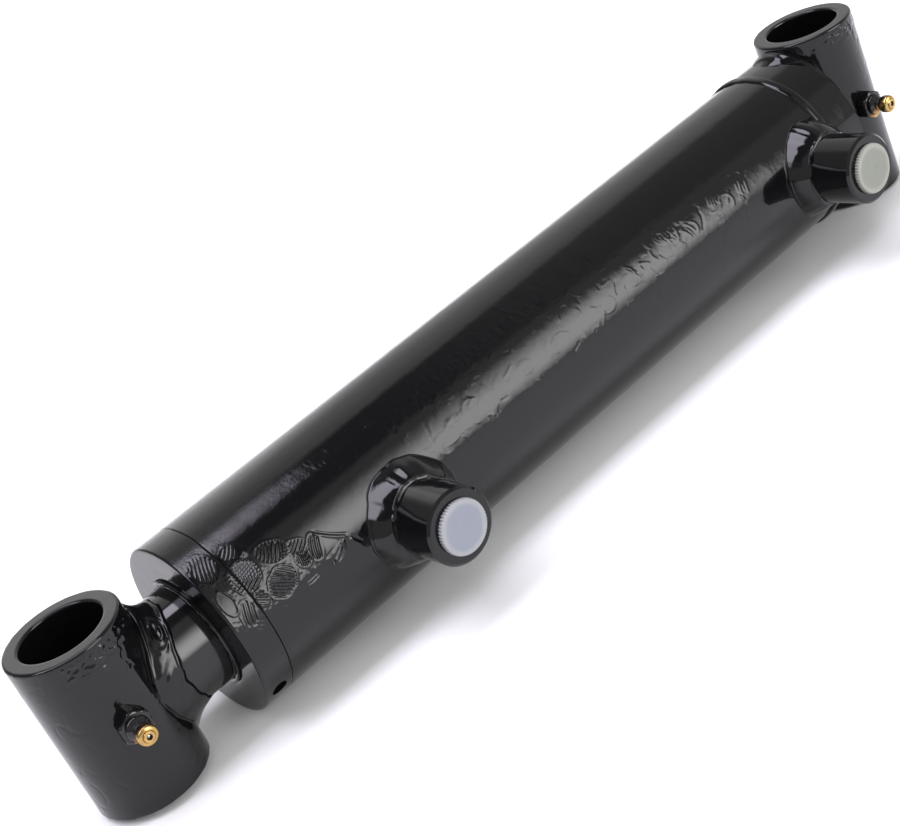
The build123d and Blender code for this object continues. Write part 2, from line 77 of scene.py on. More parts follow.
def make_camera():
    data = bpy.data.cameras.new("studio_camera")
    data.sensor_width = CAMERA_SENSOR
    data.lens = CAMERA_LENS
    data.shift_x, data.shift_y = CAMERA_SHIFT
    data.clip_start = 0.01
    camera = add_object("studio_camera", data)
    up = -CAMERA_DOWN
    back = CAMERA_RIGHT.cross(up)
    turn = Matrix((CAMERA_RIGHT, up, back)).transposed().to_4x4()
    camera.matrix_world = Matrix.Translation(CAMERA_PLACE) @ turn
    bpy.context.scene.camera = camera


make_camera()


# ---- node helpers ----
class Graph:
    """Short hand for building a node tree: every call returns an output socket."""

    def __init__(self, tree):
        self.tree = tree

    def node(self, kind, **settings):
        made = self.tree.nodes.new(kind)
        for key, value in settings.items():
            setattr(made, key, value)
        return made

    def put(self, socket, value):
        if isinstance(value, bpy.types.NodeSocket):
            self.tree.links.new(value, socket)
        else:
            socket.default_value = value

    def feed(self, made, **entries):
        """Sets or links inputs by name, such as base_color for Base Color."""
        for key, value in entries.items():
            self.put(made.inputs[key.replace("_", " ").title()], value)

    def axes(self, vector):
        """The X, Y and Z of a vector."""
        made = self.node("ShaderNodeSeparateXYZ")
        self.put(made.inputs[0], vector)
        return made.outputs

    def math(self, operation, *values, clamp=False):
        made = self.node("ShaderNodeMath", operation=operation, use_clamp=clamp)
        for socket, value in zip(made.inputs, values):
            self.put(socket, value)
        return made.outputs[0]

    def ramp(self, value, low, high, out_low=0.0, out_high=1.0):
        """Smooth step of a value from low to high."""
        made = self.node("ShaderNodeMapRange", interpolation_type="SMOOTHSTEP")
        for socket, entry in zip(made.inputs, (value, low, high, out_low, out_high)):
            self.put(socket, entry)
        return made.outputs[0]

    def band(self, value, start, full, fade, end):
        """1 between full and fade, easing to 0 at start and end."""
        return self.math("MULTIPLY", self.ramp(value, start, full), self.ramp(value, fade, end, 1.0, 0.0))

    def total(self, *values):
        result = values[0]
        for value in values[1:]:
            result = self.math("ADD", result, value)
        return result

    def product(self, *values):
        result = values[0]
        for value in values[1:]:
            result = self.math("MULTIPLY", result, value)
        return result

    def mix_colour(self, factor, first, second):
        made = self.node("ShaderNodeMix", data_type="RGBA")
        self.put(made.inputs["Factor"], factor)
        self.put(made.inputs[6], first)
        self.put(made.inputs[7], second)
        return made.outputs[2]


# ---- studio: surrounding light, floor ----
WHITE_LIGHT = (1.0, 1.0, 1.0, 1.0)
LAVENDER_LIGHT = (0.90, 0.86, 1.0, 1.0)
BOX_STRENGTH, STRIP_STRENGTH, PATCH_STRENGTH = 6.5, 7.2, 0.6
STRIP_TINT = 0.18


def make_world():
    """Light from all round. Azimuth is in degrees from +X toward +Y, so -90 is the port side."""
    world = bpy.data.worlds.new("studio")
    world.use_nodes = True
    bpy.context.scene.world = world
    g = Graph(world.node_tree)
    x, y, z = g.axes(g.node("ShaderNodeTexCoord").outputs["Generated"])
    degrees = 180 / math.pi
    elevation = g.product(g.math("ARCSINE", z), degrees)
    azimuth = g.product(g.math("ARCTAN2", y, x), degrees)
    # pale walls: brighter from the port side round to the far side, then dim toward the rod end
    brighter = g.ramp(azimuth, -60.0, 40.0, 0.56, 0.79)
    wall_level = g.product(brighter, g.ramp(azimuth, 84.0, 104.0, 1.0, 0.42))
    # a dark strip of ceiling along the object
    dark_row = g.product(g.band(y, -0.50, -0.36, 0.28, 0.42), g.ramp(z, 0.45, 0.66))
    dark_level = g.ramp(x, 0.38, 0.58, 0.10, 0.34)
    walls = g.total(wall_level, g.product(dark_row, g.math("SUBTRACT", dark_level, wall_level)))
    # large soft box on the port side: it fades in over its lower edge and slowly out to its top
    box_height = g.band(elevation, -5.0, 11.0, 17.0, 46.0)
    box_width = g.band(azimuth, -88.0, -76.0, -53.5, -46.0)
    soft_box = g.product(box_height, box_width, BOX_STRENGTH)
    # narrow strip light overhead, which stops a little way toward the base end
    strip_width = g.band(y, -0.085, -0.03, 0.225, 0.30)
    strip = g.product(strip_width, g.ramp(x, 0.342, 0.318), g.ramp(z, 0.5, 0.7), STRIP_STRENGTH)
    # faint brighter patch on the far side
    patch_width = g.band(azimuth, 62.0, 71.0, 82.0, 94.0)
    patch = g.product(patch_width, g.ramp(elevation, 50.0, 30.0), PATCH_STRENGTH)
    tinted = g.math("MULTIPLY", strip, STRIP_TINT, clamp=True)
    colour = g.mix_colour(tinted, WHITE_LIGHT, LAVENDER_LIGHT)
    strength = g.total(walls, soft_box, strip, patch)
    g.feed(world.node_tree.nodes["Background"], color=colour, strength=strength)


make_world()


FLOOR_RISE = 0.0120  # the object rests on its base eye and its gland, so the rod end hangs lower
FLOOR_GAP = 0.0009
FLOOR_REACH = 30.0
FLOOR_COLOUR = (0.88, 0.88, 0.885, 1.0)


def make_floor():
    """Plain pale floor that reaches well past the camera's view."""
    base = cad_low[2] - FLOOR_GAP
    reach = FLOOR_REACH
    rise = FLOOR_RISE * reach
    corners = (
        (-reach, -reach, base + rise), (reach, -reach, base - rise),
        (reach, reach, base - rise), (-reach, reach, base + rise),
    )
    mesh = bpy.data.meshes.new("floor")
    mesh.from_pydata(corners, [], [(0, 1, 2, 3)])
    floor = add_object("floor", mesh)
    material = bpy.data.materials.new("floor_paper")
    material.use_nodes = True
    shader = material.node_tree.nodes["Principled BSDF"]
    shader.inputs["Base Color"].default_value = FLOOR_COLOUR
    shader.inputs["Roughness"].default_value = 0.9
    shader.inputs["Specular IOR Level"].default_value = 0.1
    mesh.materials.append(material)


make_floor()


# Fill lights: place, size and power.
FILLS = (
    ((-0.3, 0.5, 1.8), 3.0, 22.0),
    ((-0.9, -1.2, 1.6), 2.0, 5.0),
)
FILL_AIM = Vector((-0.27, 0.0, 0.0))


def make_lights():
    """Wide overhead fills that brighten the floor without a reflection of their own."""
    for location, size, energy in FILLS:
        data = bpy.data.lights.new("fill", "AREA")
        data.energy = energy
        data.size = size
        light = add_object("fill", data)
        light.location = location
        light.rotation_euler = (FILL_AIM - light.location).to_track_quat("-Z", "Y").to_euler()
        light.visible_glossy = False
        light.visible_camera = False


make_lights()
bpy.context.scene.view_settings.view_transform = "Standard"


# ---- mesh helpers ----
BARREL_RADIUS = 44.45
TURN = 2 * math.pi


def ease(low, high, value):
    """Smooth step of an array from 0 at low to 1 at high."""
    t = np.clip((value - low) / (high - low), 0.0, 1.0)
    return t * t * (3.0 - 2.0 * t)


def xyz(x, y, z):
    return np.stack([x, y, z], axis=-1)


def peak(value, centre, width):
    """Bell curve of an array: 1 at the centre, falling off over the width."""
    return np.exp(-(((value - centre) / width) ** 2))


def lattice_noise(u, v, seed):
    """Smooth seeded noise in -1..1 on two arrays of lattice coordinates."""
    size = 64
    table = np.random.RandomState(seed).uniform(-1.0, 1.0, (size, size))
    iu, iv = np.floor(u).astype(int), np.floor(v).astype(int)
    fu, fv = u - iu, v - iv
    fu, fv = fu * fu * (3 - 2 * fu), fv * fv * (3 - 2 * fv)

    def corner(du, dv):
        return table[(iu + du) % size, (iv + dv) % size]

    near = corner(0, 0) * (1 - fu) + corner(1, 0) * fu
    far = corner(0, 1) * (1 - fu) + corner(1, 1) * fu
    return near * (1 - fv) + far * fv


def ring_noise(side, rise, scale, offset, seed, along=0.0):
    """Noise round a ring, from its cosine and sine; along moves it on from ring to ring."""
    return lattice_noise(side * scale + offset, rise * scale + along + offset, seed)


def spread(*zones):
    """Ascending stations from (start, end, pitch) zones that follow each other."""
    stations = [zones[0][0]]
    for start, end, pitch in zones:
        count = max(1, int(round((end - start) / pitch)))
        stations.extend(start + (end - start) * (i + 1) / count for i in range(count))
    return np.array(stations)


def finish_mesh(obj, sharp=None):
    """Outward normals, smooth shading, and sharp edges past an angle in degrees."""
    edit = bmesh.new()
    edit.from_mesh(obj.data)
    bmesh.ops.remove_doubles(edit, verts=edit.verts, dist=1e-7)
    if edit.calc_volume(signed=True) < 0:
        bmesh.ops.reverse_faces(edit, faces=edit.faces)
    edit.to_mesh(obj.data)
    edit.free()
    obj.data.polygons.foreach_set("use_smooth", [True] * len(obj.data.polygons))
    if sharp:
        obj.data.set_sharp_from_angle(angle=math.radians(sharp))
    obj.data.update()
    return obj


def grid_mesh(name, points, wrap_rows=True, wrap_columns=True, sharp=None):
    """A mesh of quads over a rows x columns x 3 array of points in millimetres."""
    rows, columns = points.shape[:2]
    index = np.arange(rows * columns).reshape(rows, columns)
    across = np.concatenate([index, index[:, :1]], axis=1) if wrap_columns else index
    both = np.concatenate([across, across[:1]], axis=0) if wrap_rows else across
    quads = np.stack([both[:-1, :-1], both[:-1, 1:], both[1:, 1:], both[1:, :-1]], axis=-1).reshape(-1, 4)
    mesh = bpy.data.meshes.new(name)
    mesh.vertices.add(rows * columns)
    mesh.vertices.foreach_set("co", (points.reshape(-1, 3) * MM).astype(np.float32).ravel())
    mesh.loops.add(quads.size)
    mesh.loops.foreach_set("vertex_index", quads.ravel())
    mesh.polygons.add(len(quads))
    mesh.polygons.foreach_set("loop_start", np.arange(0, quads.size, 4))
    mesh.polygons.foreach_set("loop_total", np.full(len(quads), 4))
    mesh.update(calc_edges=True)
    return finish_mesh(add_object(name, mesh), sharp)


def corner_curve(before, here, after, radius, steps):
    """Points of a curve that cuts a corner, no further along each side than its limit."""
    limit = 0.4
    sides = (before - here, after - here)
    first, last = (here + side * min(radius / np.linalg.norm(side), limit) for side in sides)
    shares = np.linspace(0.0, 1.0, steps + 1)
    return [(1 - t) ** 2 * first + 2 * t * (1 - t) * here + t * t * last for t in shares]


def rounded(profile, radius, steps=4):
    """A closed outline of (along, radius) corners with each corner rounded, and a support
    point just past each rounding so that flat faces stay flat under smooth shading."""
    corners = [np.array(corner, float) for corner in profile]
    support = 0.4
    result = []
    for i, here in enumerate(corners):
        before, after = corners[i - 1], corners[(i + 1) % len(corners)]
        curve = corner_curve(before, here, after, radius, steps)
        result.append(curve[0] + support * (before - here) / np.linalg.norm(before - here))
        result.extend(curve)
        result.append(curve[-1] + support * (after - here) / np.linalg.norm(after - here))
    return result


def softened(corners, steps=4):
    """An open outline of (radius, height, rounding) corners with each corner rounded."""
    places = [np.array(corner[:2], float) for corner in corners]
    result = [places[0]]
    for before, here, after, (_, _, rounding) in zip(places, places[1:], places[2:], corners[1:]):
        result.extend(corner_curve(before, here, after, rounding, steps) if rounding else [here])
    return result + [places[-1]]


def place(piece, body, slot, *replaced, material=None):
    """Puts a finished piece on its body and hides the CAD nodes it stands for. The slot argument is not
    used.
    """
    if material is not None:
        piece.data.materials.append(material)
    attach(piece, body)
    if replaced:
        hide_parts(*replaced)


# ---- film marks pressed into the soft paint ----
# Heights in millimetres over the barrel's developed surface: x runs along the cylinder
# (frame +X) and s is the arc length from the port line toward +Z.
FILM_SEED = 7
BUBBLE_GAIN = 2.3  # multiplies the heights of the bubbles and folds
SCATTER_GAIN = 1.45  # multiplies the heights of the scattered marks
PUCKER_HEIGHT = 0.070
RING_COUNT, WRINKLE_COUNT, FAN_COUNT, CRUMB_COUNT, NIB_COUNT = 44, 120, 12, 150, 90
# Bubbles of film beside the gland: centre, half sizes, lean, stripe direction (degrees
# from +X toward +s), stripe spacing, stripe height and rim height before the gain.
BUBBLES = (
    (-457.1, 41.0, 5.8, 7.4, 0, 62, 1.60, 0.075, 0.05),
    (-446.5, 27.3, 7.5, 7.3, 0, 15, 1.40, 0.075, 0.06),
    (-444.9, 39.9, 3.9, 3.4, 20, 42, 1.45, 0.060, 0.02),
    (-430.4, 28.4, 8.0, 5.0, -22, 48, 1.55, 0.075, 0.05),
    (-435.4, 15.4, 7.5, 6.2, 20, -40, 1.45, 0.080, 0.08),
    (-421.2, 23.4, 5.2, 3.4, -25, 30, 1.60, 0.070, 0.05),
    (-421.8, 17.6, 3.7, 4.0, 0, 78, 1.45, 0.075, 0.06),
    (-414.6, 18.0, 3.5, 6.0, -20, 64, 1.90, 0.080, 0.06),
    (-446.8, 16.4, 3.0, 3.5, 0, -40, 1.45, 0.070, 0.04),
    (-455.4, 14.3, 4.0, 5.8, -15, 70, 2.10, 0.045, 0.06),
    (-459.9, 23.2, 3.0, 5.6, 0, 90, 9.00, 0.030, 0.07),
    (-440.6, 34.6, 2.4, 2.0, 0, 20, 1.30, 0.050, 0.02),
    (-454.0, 7.0, 5.0, 2.6, -35, -38, 1.70, 0.035, 0.00),
    (-438.6, 5.2, 4.0, 2.4, -38, -40, 1.50, 0.030, 0.00),
    (-408.0, 9.4, 5.6, 2.6, 30, 32, 2.20, 0.045, 0.05),
    (-423.6, 7.6, 4.2, 1.3, 0, 5, 1.60, 0.045, 0.00),
    (-424.2, 2.6, 5.6, 1.8, -16, -14, 1.70, 0.030, 0.00),
)
# Thick folds at the film's edge: start, end, and height before the gain.
FOLDS = (
    ((-412.9, 23.4), (-400.0, 12.0), 0.10),
    ((-399.6, 11.2), (-396.4, 5.8), 0.08),
    ((-414.0, 9.8), (-401.0, 12.6), 0.06),
    ((-411.8, 3.6), (-409.6, 8.6), 0.05),
    ((-446.0, 44.2), (-437.0, 38.2), 0.03),
)


def local_axes(x, s, centre_x, centre_s, turn):
    """Places measured from a centre along and across a direction."""
    c, n = math.cos(turn), math.sin(turn)
    x, s = x - centre_x, s - centre_s
    return x * c + s * n, s * c - x * n


def bubble(x, s, centre_x, centre_s, half_x, half_s, lean, stripe_turn, spacing, depth, rim_height, seed):
    """One pressed bubble: a rim and a slightly wandering fan of stripes inside it."""
    p, q = local_axes(x, s, centre_x, centre_s, math.radians(lean))
    edge = 1.0 + 0.07 * lattice_noise(p * 0.35 + 20, q * 0.35 + 20, seed + 1)
    reach = np.sqrt((p / half_x) ** 2 + (q / half_s) ** 2) / edge
    along, cross = local_axes(x, s, centre_x, centre_s, math.radians(stripe_turn))
    fan = cross * (1.0 + 0.016 * along) + 0.55 * lattice_noise(along * 0.16 + seed, cross * 0.3 + seed, seed)
    wave = np.sin(TURN * fan / spacing + seed)
    inside = 1.0 - ease(0.80, 1.0, reach)
    rim = peak((reach - 1.04) * min(half_x, half_s), 0.0, 0.42)
    return BUBBLE_GAIN * (depth * wave * inside + rim_height * rim)


def bubble_cover(x, s, centre_x, centre_s, half_x, half_s):
    """1 well inside a bubble, easing to 0 outside it."""
    reach = np.sqrt(((x - centre_x) / half_x) ** 2 + ((s - centre_s) / half_s) ** 2)
    return 1.0 - ease(0.85, 1.15, reach)


def arc_ridge(x, s, centre_x, centre_s, radius, start, sweep, width, squash):
    """A raised line along part of a ring."""
    p, q = x - centre_x, (s - centre_s) / squash
    away = np.sqrt(p * p + q * q) - radius
    angle = (np.arctan2(q, p) - start) % TURN
    ends = ease(0.0, 0.25, angle) * (1.0 - ease(sweep - 0.25, sweep, angle))
    return peak(away, 0.0, width) * ends


def bent_ridge(x, s, centre_x, centre_s, half, turn, bend, width):
    """A raised line of a given half length, turned and slightly bent."""
    p, q = local_axes(x, s, centre_x, centre_s, turn)
    q = q - bend * (p * p) / max(half, 0.1)
    return peak(q, 0.0, width) * (1.0 - ease(half * 0.75, half, np.abs(p)))


class Relief:
    """Height field over given places, built up one local mark at a time."""

    def __init__(self, x, s):
        self.x, self.s = x, s
        self.h = np.zeros_like(x)

    def stamp(self, shape, centre_x, centre_s, reach, gain, *arguments):
        spot = (np.abs(self.x - centre_x) < reach) & (np.abs(self.s - centre_s) < reach)
        if spot.any():
            self.h[spot] += gain * shape(self.x[spot], self.s[spot], centre_x, centre_s, *arguments)


def film_bubbles(relief):
    """The cluster of striped bubbles and folds beside the gland."""
    covered = Relief(relief.x, relief.s)
    for seed, entry in enumerate(BUBBLES):
        relief.stamp(bubble, entry[0], entry[1], 11.0, 1.0, *entry[2:], 31 + 7 * seed)
        covered.stamp(bubble_cover, entry[0], entry[1], 11.0, 1.0, *entry[2:4])
    for seed, (first, last, height) in enumerate(FOLDS):
        mid_x, mid_s = (first[0] + last[0]) / 2, (first[1] + last[1]) / 2
        half = math.dist(first, last) / 2
        turn = math.atan2(last[1] - first[1], last[0] - first[0])
        height *= BUBBLE_GAIN
        bend, groove = 0.08, 1.25
        relief.stamp(bent_ridge, mid_x, mid_s, half + 3, height, half, turn, bend, 0.62)
        mid_x, mid_s = mid_x - groove * math.sin(turn), mid_s + groove * math.cos(turn)
        relief.stamp(bent_ridge, mid_x, mid_s, half + 3, -0.8 * height, half, turn, bend, 0.5)
    x, s = relief.x, relief.s
    # loose puckers between the bubbles, fading out above and below them
    zone = ease(-466.0, -462.0, x) * (1.0 - ease(-421.0, -404.0, x))
    zone = zone * ease(3.0, 12.0, s) * (1.0 - ease(30.0, 44.0, s + 0.75 * (x + 446.0)))
    zone = zone * (1.0 - np.clip(covered.h, 0.0, 1.0))
    relief.h += PUCKER_HEIGHT * zone * lattice_noise(x * 0.8, s * 1.0, 61)


def film_scatter(relief, rng):
    """Rings, arcs, wrinkles and crumbs scattered along the lit side."""
    for i in range(RING_COUNT):
        centre_x, centre_s = -rng.uniform(120.0, 350.0), rng.uniform(6.0, 38.0)
        radius, squash = rng.uniform(2.0, 6.2), rng.uniform(0.55, 1.1)
        start, sweep = rng.uniform(0, TURN), rng.uniform(1.4, 5.6)
        gain = rng.uniform(0.035, 0.075)
        relief.stamp(arc_ridge, centre_x, centre_s, 9.0, gain, radius, start, sweep, 0.5, squash)
        if rng.uniform() < 0.6:
            radius += 1.5
            relief.stamp(arc_ridge, centre_x, centre_s, 9.0, gain * 0.8, radius, start, sweep, 0.48, squash)
    for i in range(WRINKLE_COUNT):
        centre_x, centre_s = -rng.uniform(112.0, 356.0), rng.uniform(3.0, 42.0)
        half, turn = rng.uniform(1.4, 5.0), rng.uniform(0, math.pi)
        bend, gain = rng.uniform(-0.35, 0.35), rng.choice((-1, 1, 1)) * rng.uniform(0.03, 0.07)
        relief.stamp(bent_ridge, centre_x, centre_s, 7.5, gain, half, turn, bend, rng.uniform(0.4, 0.6))
    for i in range(FAN_COUNT):
        centre_x, centre_s = -rng.uniform(118.0, 340.0), rng.uniform(8.0, 32.0)
        turn, gap, bend = rng.uniform(0.9, 2.3), rng.uniform(1.4, 2.0), rng.uniform(-0.25, 0.25)
        for line in range(rng.randint(3, 7)):
            line_x = centre_x + line * gap * math.sin(turn)
            line_s = centre_s - line * gap * math.cos(turn)
            relief.stamp(bent_ridge, line_x, line_s, 8.0, 0.055, rng.uniform(2.0, 4.5), turn, bend, 0.45)
    for i in range(CRUMB_COUNT):
        centre_x, centre_s = -rng.uniform(240.0, 392.0), rng.normal(44.0, 3.4)
        relief.stamp(bent_ridge, centre_x, centre_s, 3.0, rng.uniform(0.02, 0.055),
                     rng.uniform(0.4, 1.5), rng.uniform(0, math.pi), 0.3, 0.42)


def dust_nib(x, s, centre_x, centre_s, size):
    """A speck of dust under the paint, or a pit."""
    return np.exp(-((x - centre_x) ** 2 + (s - centre_s) ** 2) / size ** 2)


def film_marks(x, s):
    """Height of every pressed film mark, pit and wave at the given places."""
    relief = Relief(x, s)
    rng = np.random.RandomState(FILM_SEED)
    film_scatter(relief, rng)
    relief.h *= SCATTER_GAIN
    film_bubbles(relief)
    for i in range(NIB_COUNT):
        centre_x, centre_s = -rng.uniform(70.0, 460.0), rng.uniform(-18.0, 58.0)
        relief.stamp(dust_nib, centre_x, centre_s, 3.0, rng.uniform(-0.06, 0.07), rng.uniform(0.4, 0.75))
    relief.h += 0.012 * lattice_noise(x * 0.11, s * 0.16, 31) + 0.003 * lattice_noise(x * 0.45, s * 0.5, 32)
    return relief.h


def barrel_point(d, radius, theta):
    """A point by its distance along the cylinder, its radius and its angle from the port line."""
    return xyz(-d, -radius * np.cos(theta), radius * np.sin(theta))


COARSE = 1.0
SKIN_SHARP = 28


def arc_angles(*zones):
    """Angles round the barrel from (start, end, pitch) zones of arc length, then coarse ones."""
    s = spread(*zones)
    rest = spread((zones[-1][1], TURN * BARREL_RADIUS + zones[0][0], 7.0))[1:-1]
    return np.concatenate([s, rest]) / BARREL_RADIUS


FINE = 0.32 * COARSE
PLAIN_ANGLES = arc_angles((-18.0, 2.0, 2.2 * COARSE), (2.0, 44.0, 0.56 * COARSE), (44.0, 60.0, 1.6 * COARSE))
FINE_ANGLES = arc_angles((-18.0, -2.0, 1.2 * COARSE), (-2.0, 46.0, FINE), (46.0, 60.0, 1.0 * COARSE))


def join_rings(lower, lower_start, upper, upper_start):
    """Faces between two closed rings of vertices at ascending angles, which may differ in number."""
    faces = []
    i = j = 0
    count_low, count_up = len(lower), len(upper)
    while i < count_low or j < count_up:
        next_low = lower[i + 1] if i + 1 < count_low else lower[0] + TURN
        next_up = upper[j + 1] if j + 1 < count_up else upper[0] + TURN
        here_low, here_up = lower_start + i % count_low, upper_start + j % count_up
        if j >= count_up or (i < count_low and next_low <= next_up):
            faces.append((here_low, lower_start + (i + 1) % count_low, here_up))
            i += 1
        else:
            faces.append((here_low, upper_start + (j + 1) % count_up, here_up))
            j += 1
    return faces


def turned_skin(name, outline, bands):
    """A turned body about the cylinder axis with film marks on its outer skin.
    outline is a closed list of (distance, radius) that starts at the skin's rod end;
    bands are (stations, angles) along the skin from the base end to the rod end."""
    plain = PLAIN_ANGLES if len(bands) > 1 else bands[-1][1]
    rings = [(d, radius, plain) for d, radius in outline]
    for stations, angles in bands:
        rings.extend((d, BARREL_RADIUS, angles) for d in stations)
    starts = np.cumsum([0] + [len(ring[2]) for ring in rings]).tolist()
    d, radius = (np.concatenate([np.full(len(ring[2]), ring[i]) for ring in rings]) for i in (0, 1))
    theta = np.concatenate([ring[2] for ring in rings])
    skin = slice(starts[len(outline)], None)
    arc = ((theta[skin] + math.pi) % TURN - math.pi) * BARREL_RADIUS
    from_end = np.minimum(d[skin] - bands[0][0][0], bands[-1][0][-1] - d[skin])
    radius[skin] += film_marks(-d[skin], arc) * ease(0.0, 0.6, from_end)
    faces = []
    for k in range(len(rings)):
        following = (k + 1) % len(rings)
        lower, upper = rings[k][2], rings[following][2]
        first, second = starts[k], starts[following]
        if lower is upper:
            index = np.arange(len(lower))
            ahead = (index + 1) % len(lower)
            quads = (first + index, first + ahead, second + ahead, second + index)
            faces.extend(np.stack(quads, axis=1).tolist())
        else:
            faces.extend(join_rings(lower, first, upper, second))
    mesh = bpy.data.meshes.new(name)
    mesh.from_pydata((barrel_point(d, radius, theta) * MM).tolist(), [], faces)
    return finish_mesh(add_object(name, mesh), SKIN_SHARP)


# ---- barrel and gland skins ----
SEAM_WELD = (49.0, 54.3)
BARREL_SPAN = (54.3, 449.9)
BORE_RADIUS = 38.10
GLAND_FACE = 465.1
# Spanner holes in the gland's rim.
HOLE_DISTANCE, HOLE_RADIUS, HOLE_FLOOR, HOLE_DEPTH, HOLE_ANGLE = 457.5, 4.0, 37.95, 12.0, math.radians(-38.7)


def make_round_cutter(outward):
    """A round cutter for one spanner hole, which points along outward from the cylinder axis."""
    radius = HOLE_RADIUS * MM
    edit = bmesh.new()
    sizes = {"radius1": radius, "radius2": radius, "depth": HOLE_DEPTH * MM}
    bmesh.ops.create_cone(edit, cap_ends=True, segments=40, **sizes)
    centre = outward * (HOLE_FLOOR + HOLE_DEPTH / 2) * MM + Vector((-HOLE_DISTANCE * MM, 0, 0))
    edit.transform(Matrix.Translation(centre) @ outward.to_track_quat("Z", "Y").to_matrix().to_4x4())
    cut = bpy.data.meshes.new("cut")
    edit.to_mesh(cut)
    edit.free()
    return add_object("cut", cut)


def make_barrel():
    start, end = BARREL_SPAN
    marked_end = end - 0.55
    outline = [
        (end - 0.25, BARREL_RADIUS - 0.12), (end, BARREL_RADIUS - 0.55), (end, BORE_RADIUS),
        (start, BORE_RADIUS),
    ]
    plain = spread((start, 112.0, 2.2 * COARSE), (112.0, 398.0, 0.62 * COARSE))
    fine = spread((398.32, marked_end, FINE))
    return turned_skin("barrel_skin", outline, ((plain, PLAIN_ANGLES), (fine, FINE_ANGLES)))


def make_gland():
    """Gland with its marked flange, nose, seal grooves left plain, and two spanner holes."""
    back = BARREL_SPAN[1] + 0.02
    face = GLAND_FACE
    outline = [
        (face - 0.65, BARREL_RADIUS - 0.12), (face - 0.25, BARREL_RADIUS - 0.42),
        (face - 0.05, BARREL_RADIUS - 0.8), (face, BARREL_RADIUS - 1.2),
        (face, BARREL_RADIUS - 1.7), (face, 29.6), (face, 29.1), (face - 0.15, 28.5),
        (face - 0.6, 28.12), (460.4, 28.12), (460.4, 30.6), (454.6, 30.6), (454.6, 25.7),
        (360.5, 25.7), (360.5, 33.5), (376.0, 33.5), (376.0, 38.05), (back, 38.05),
        (back, BARREL_RADIUS - 0.55), (back + 0.25, BARREL_RADIUS - 0.12),
    ]
    flange = spread((back + 0.55, face - 1.0, FINE))
    gland = turned_skin("gland_head", outline, ((flange, FINE_ANGLES),))
    for angle in (HOLE_ANGLE, HOLE_ANGLE + math.pi):
        cutter = make_round_cutter(Vector((0.0, -math.cos(angle), math.sin(angle))))
        modifier = gland.modifiers.new("hole", "BOOLEAN")
        modifier.operation = "DIFFERENCE"
        modifier.solver = "EXACT"
        modifier.object = cutter
        bpy.context.view_layer.update()
        holed = gland.evaluated_get(bpy.context.evaluated_depsgraph_get())
        solid = bpy.data.meshes.new_from_object(holed)
        gland.modifiers.clear()
        gland.data = solid
        bpy.data.objects.remove(cutter)
    gland.data.polygons.foreach_set("use_smooth", [True] * len(gland.data.polygons))
    gland.data.set_sharp_from_angle(angle=math.radians(SKIN_SHARP))
    return gland


# ---- welds ----
def make_seam_weld():
    """Bead around the joint of barrel and base cap; its unevenness fades where its ends meet."""
    angles = np.linspace(0, TURN, 220, endpoint=False)
    across = np.linspace(0, 1, 15)
    t, theta = np.meshgrid(across, angles)
    s = theta * BARREL_RADIUS
    turn = theta / TURN
    wobble = 0.45 * lattice_noise(s * 0.14, t * 0.0, 41) * ease(0, 0.15, turn) * (1 - ease(0.85, 1, turn))
    uneven = 0.22 * lattice_noise(s * 0.2, t * 0.0, 42)
    crown = 1.15 + uneven * ease(0, 0.1, turn) * (1 - ease(0.9, 1, turn))
    width_start, width_end = SEAM_WELD[0] - 0.3, SEAM_WELD[1] + 0.5
    d = width_start + (width_end - width_start) * t + wobble * (1 - t)
    hump = np.clip(1 - (2 * t - 1) ** 4, 0, 1) ** 0.7
    ripple = 0.05 * np.sin(TURN * s / 2.6 + 3.0 * t + 1.2 * lattice_noise(s * 0.3, t * 2, 43))
    radius = BARREL_RADIUS - 0.25 + (crown + 0.25) * hump + ripple * hump
    points = barrel_point(d, radius, theta)
    inner_distance = np.tile((width_end, width_start), (len(angles), 1))
    inner_radius = np.full(inner_distance.shape, BARREL_RADIUS - 4.0)
    inner = barrel_point(inner_distance, inner_radius, np.stack([angles, angles], axis=1))
    return grid_mesh("seam_weld", np.concatenate([points, inner], axis=1), sharp=50)


def port_point(distance, radial, height, angle):
    """A point round a port axis: angle 0 faces the base end, a quarter turn is +Z."""
    return xyz(-distance + radial * np.cos(angle), -height + 0 * radial, radial * np.sin(angle))


PORT_BOSS_RADIUS = 17.6
PORT_TOE_LIMIT = 26.6


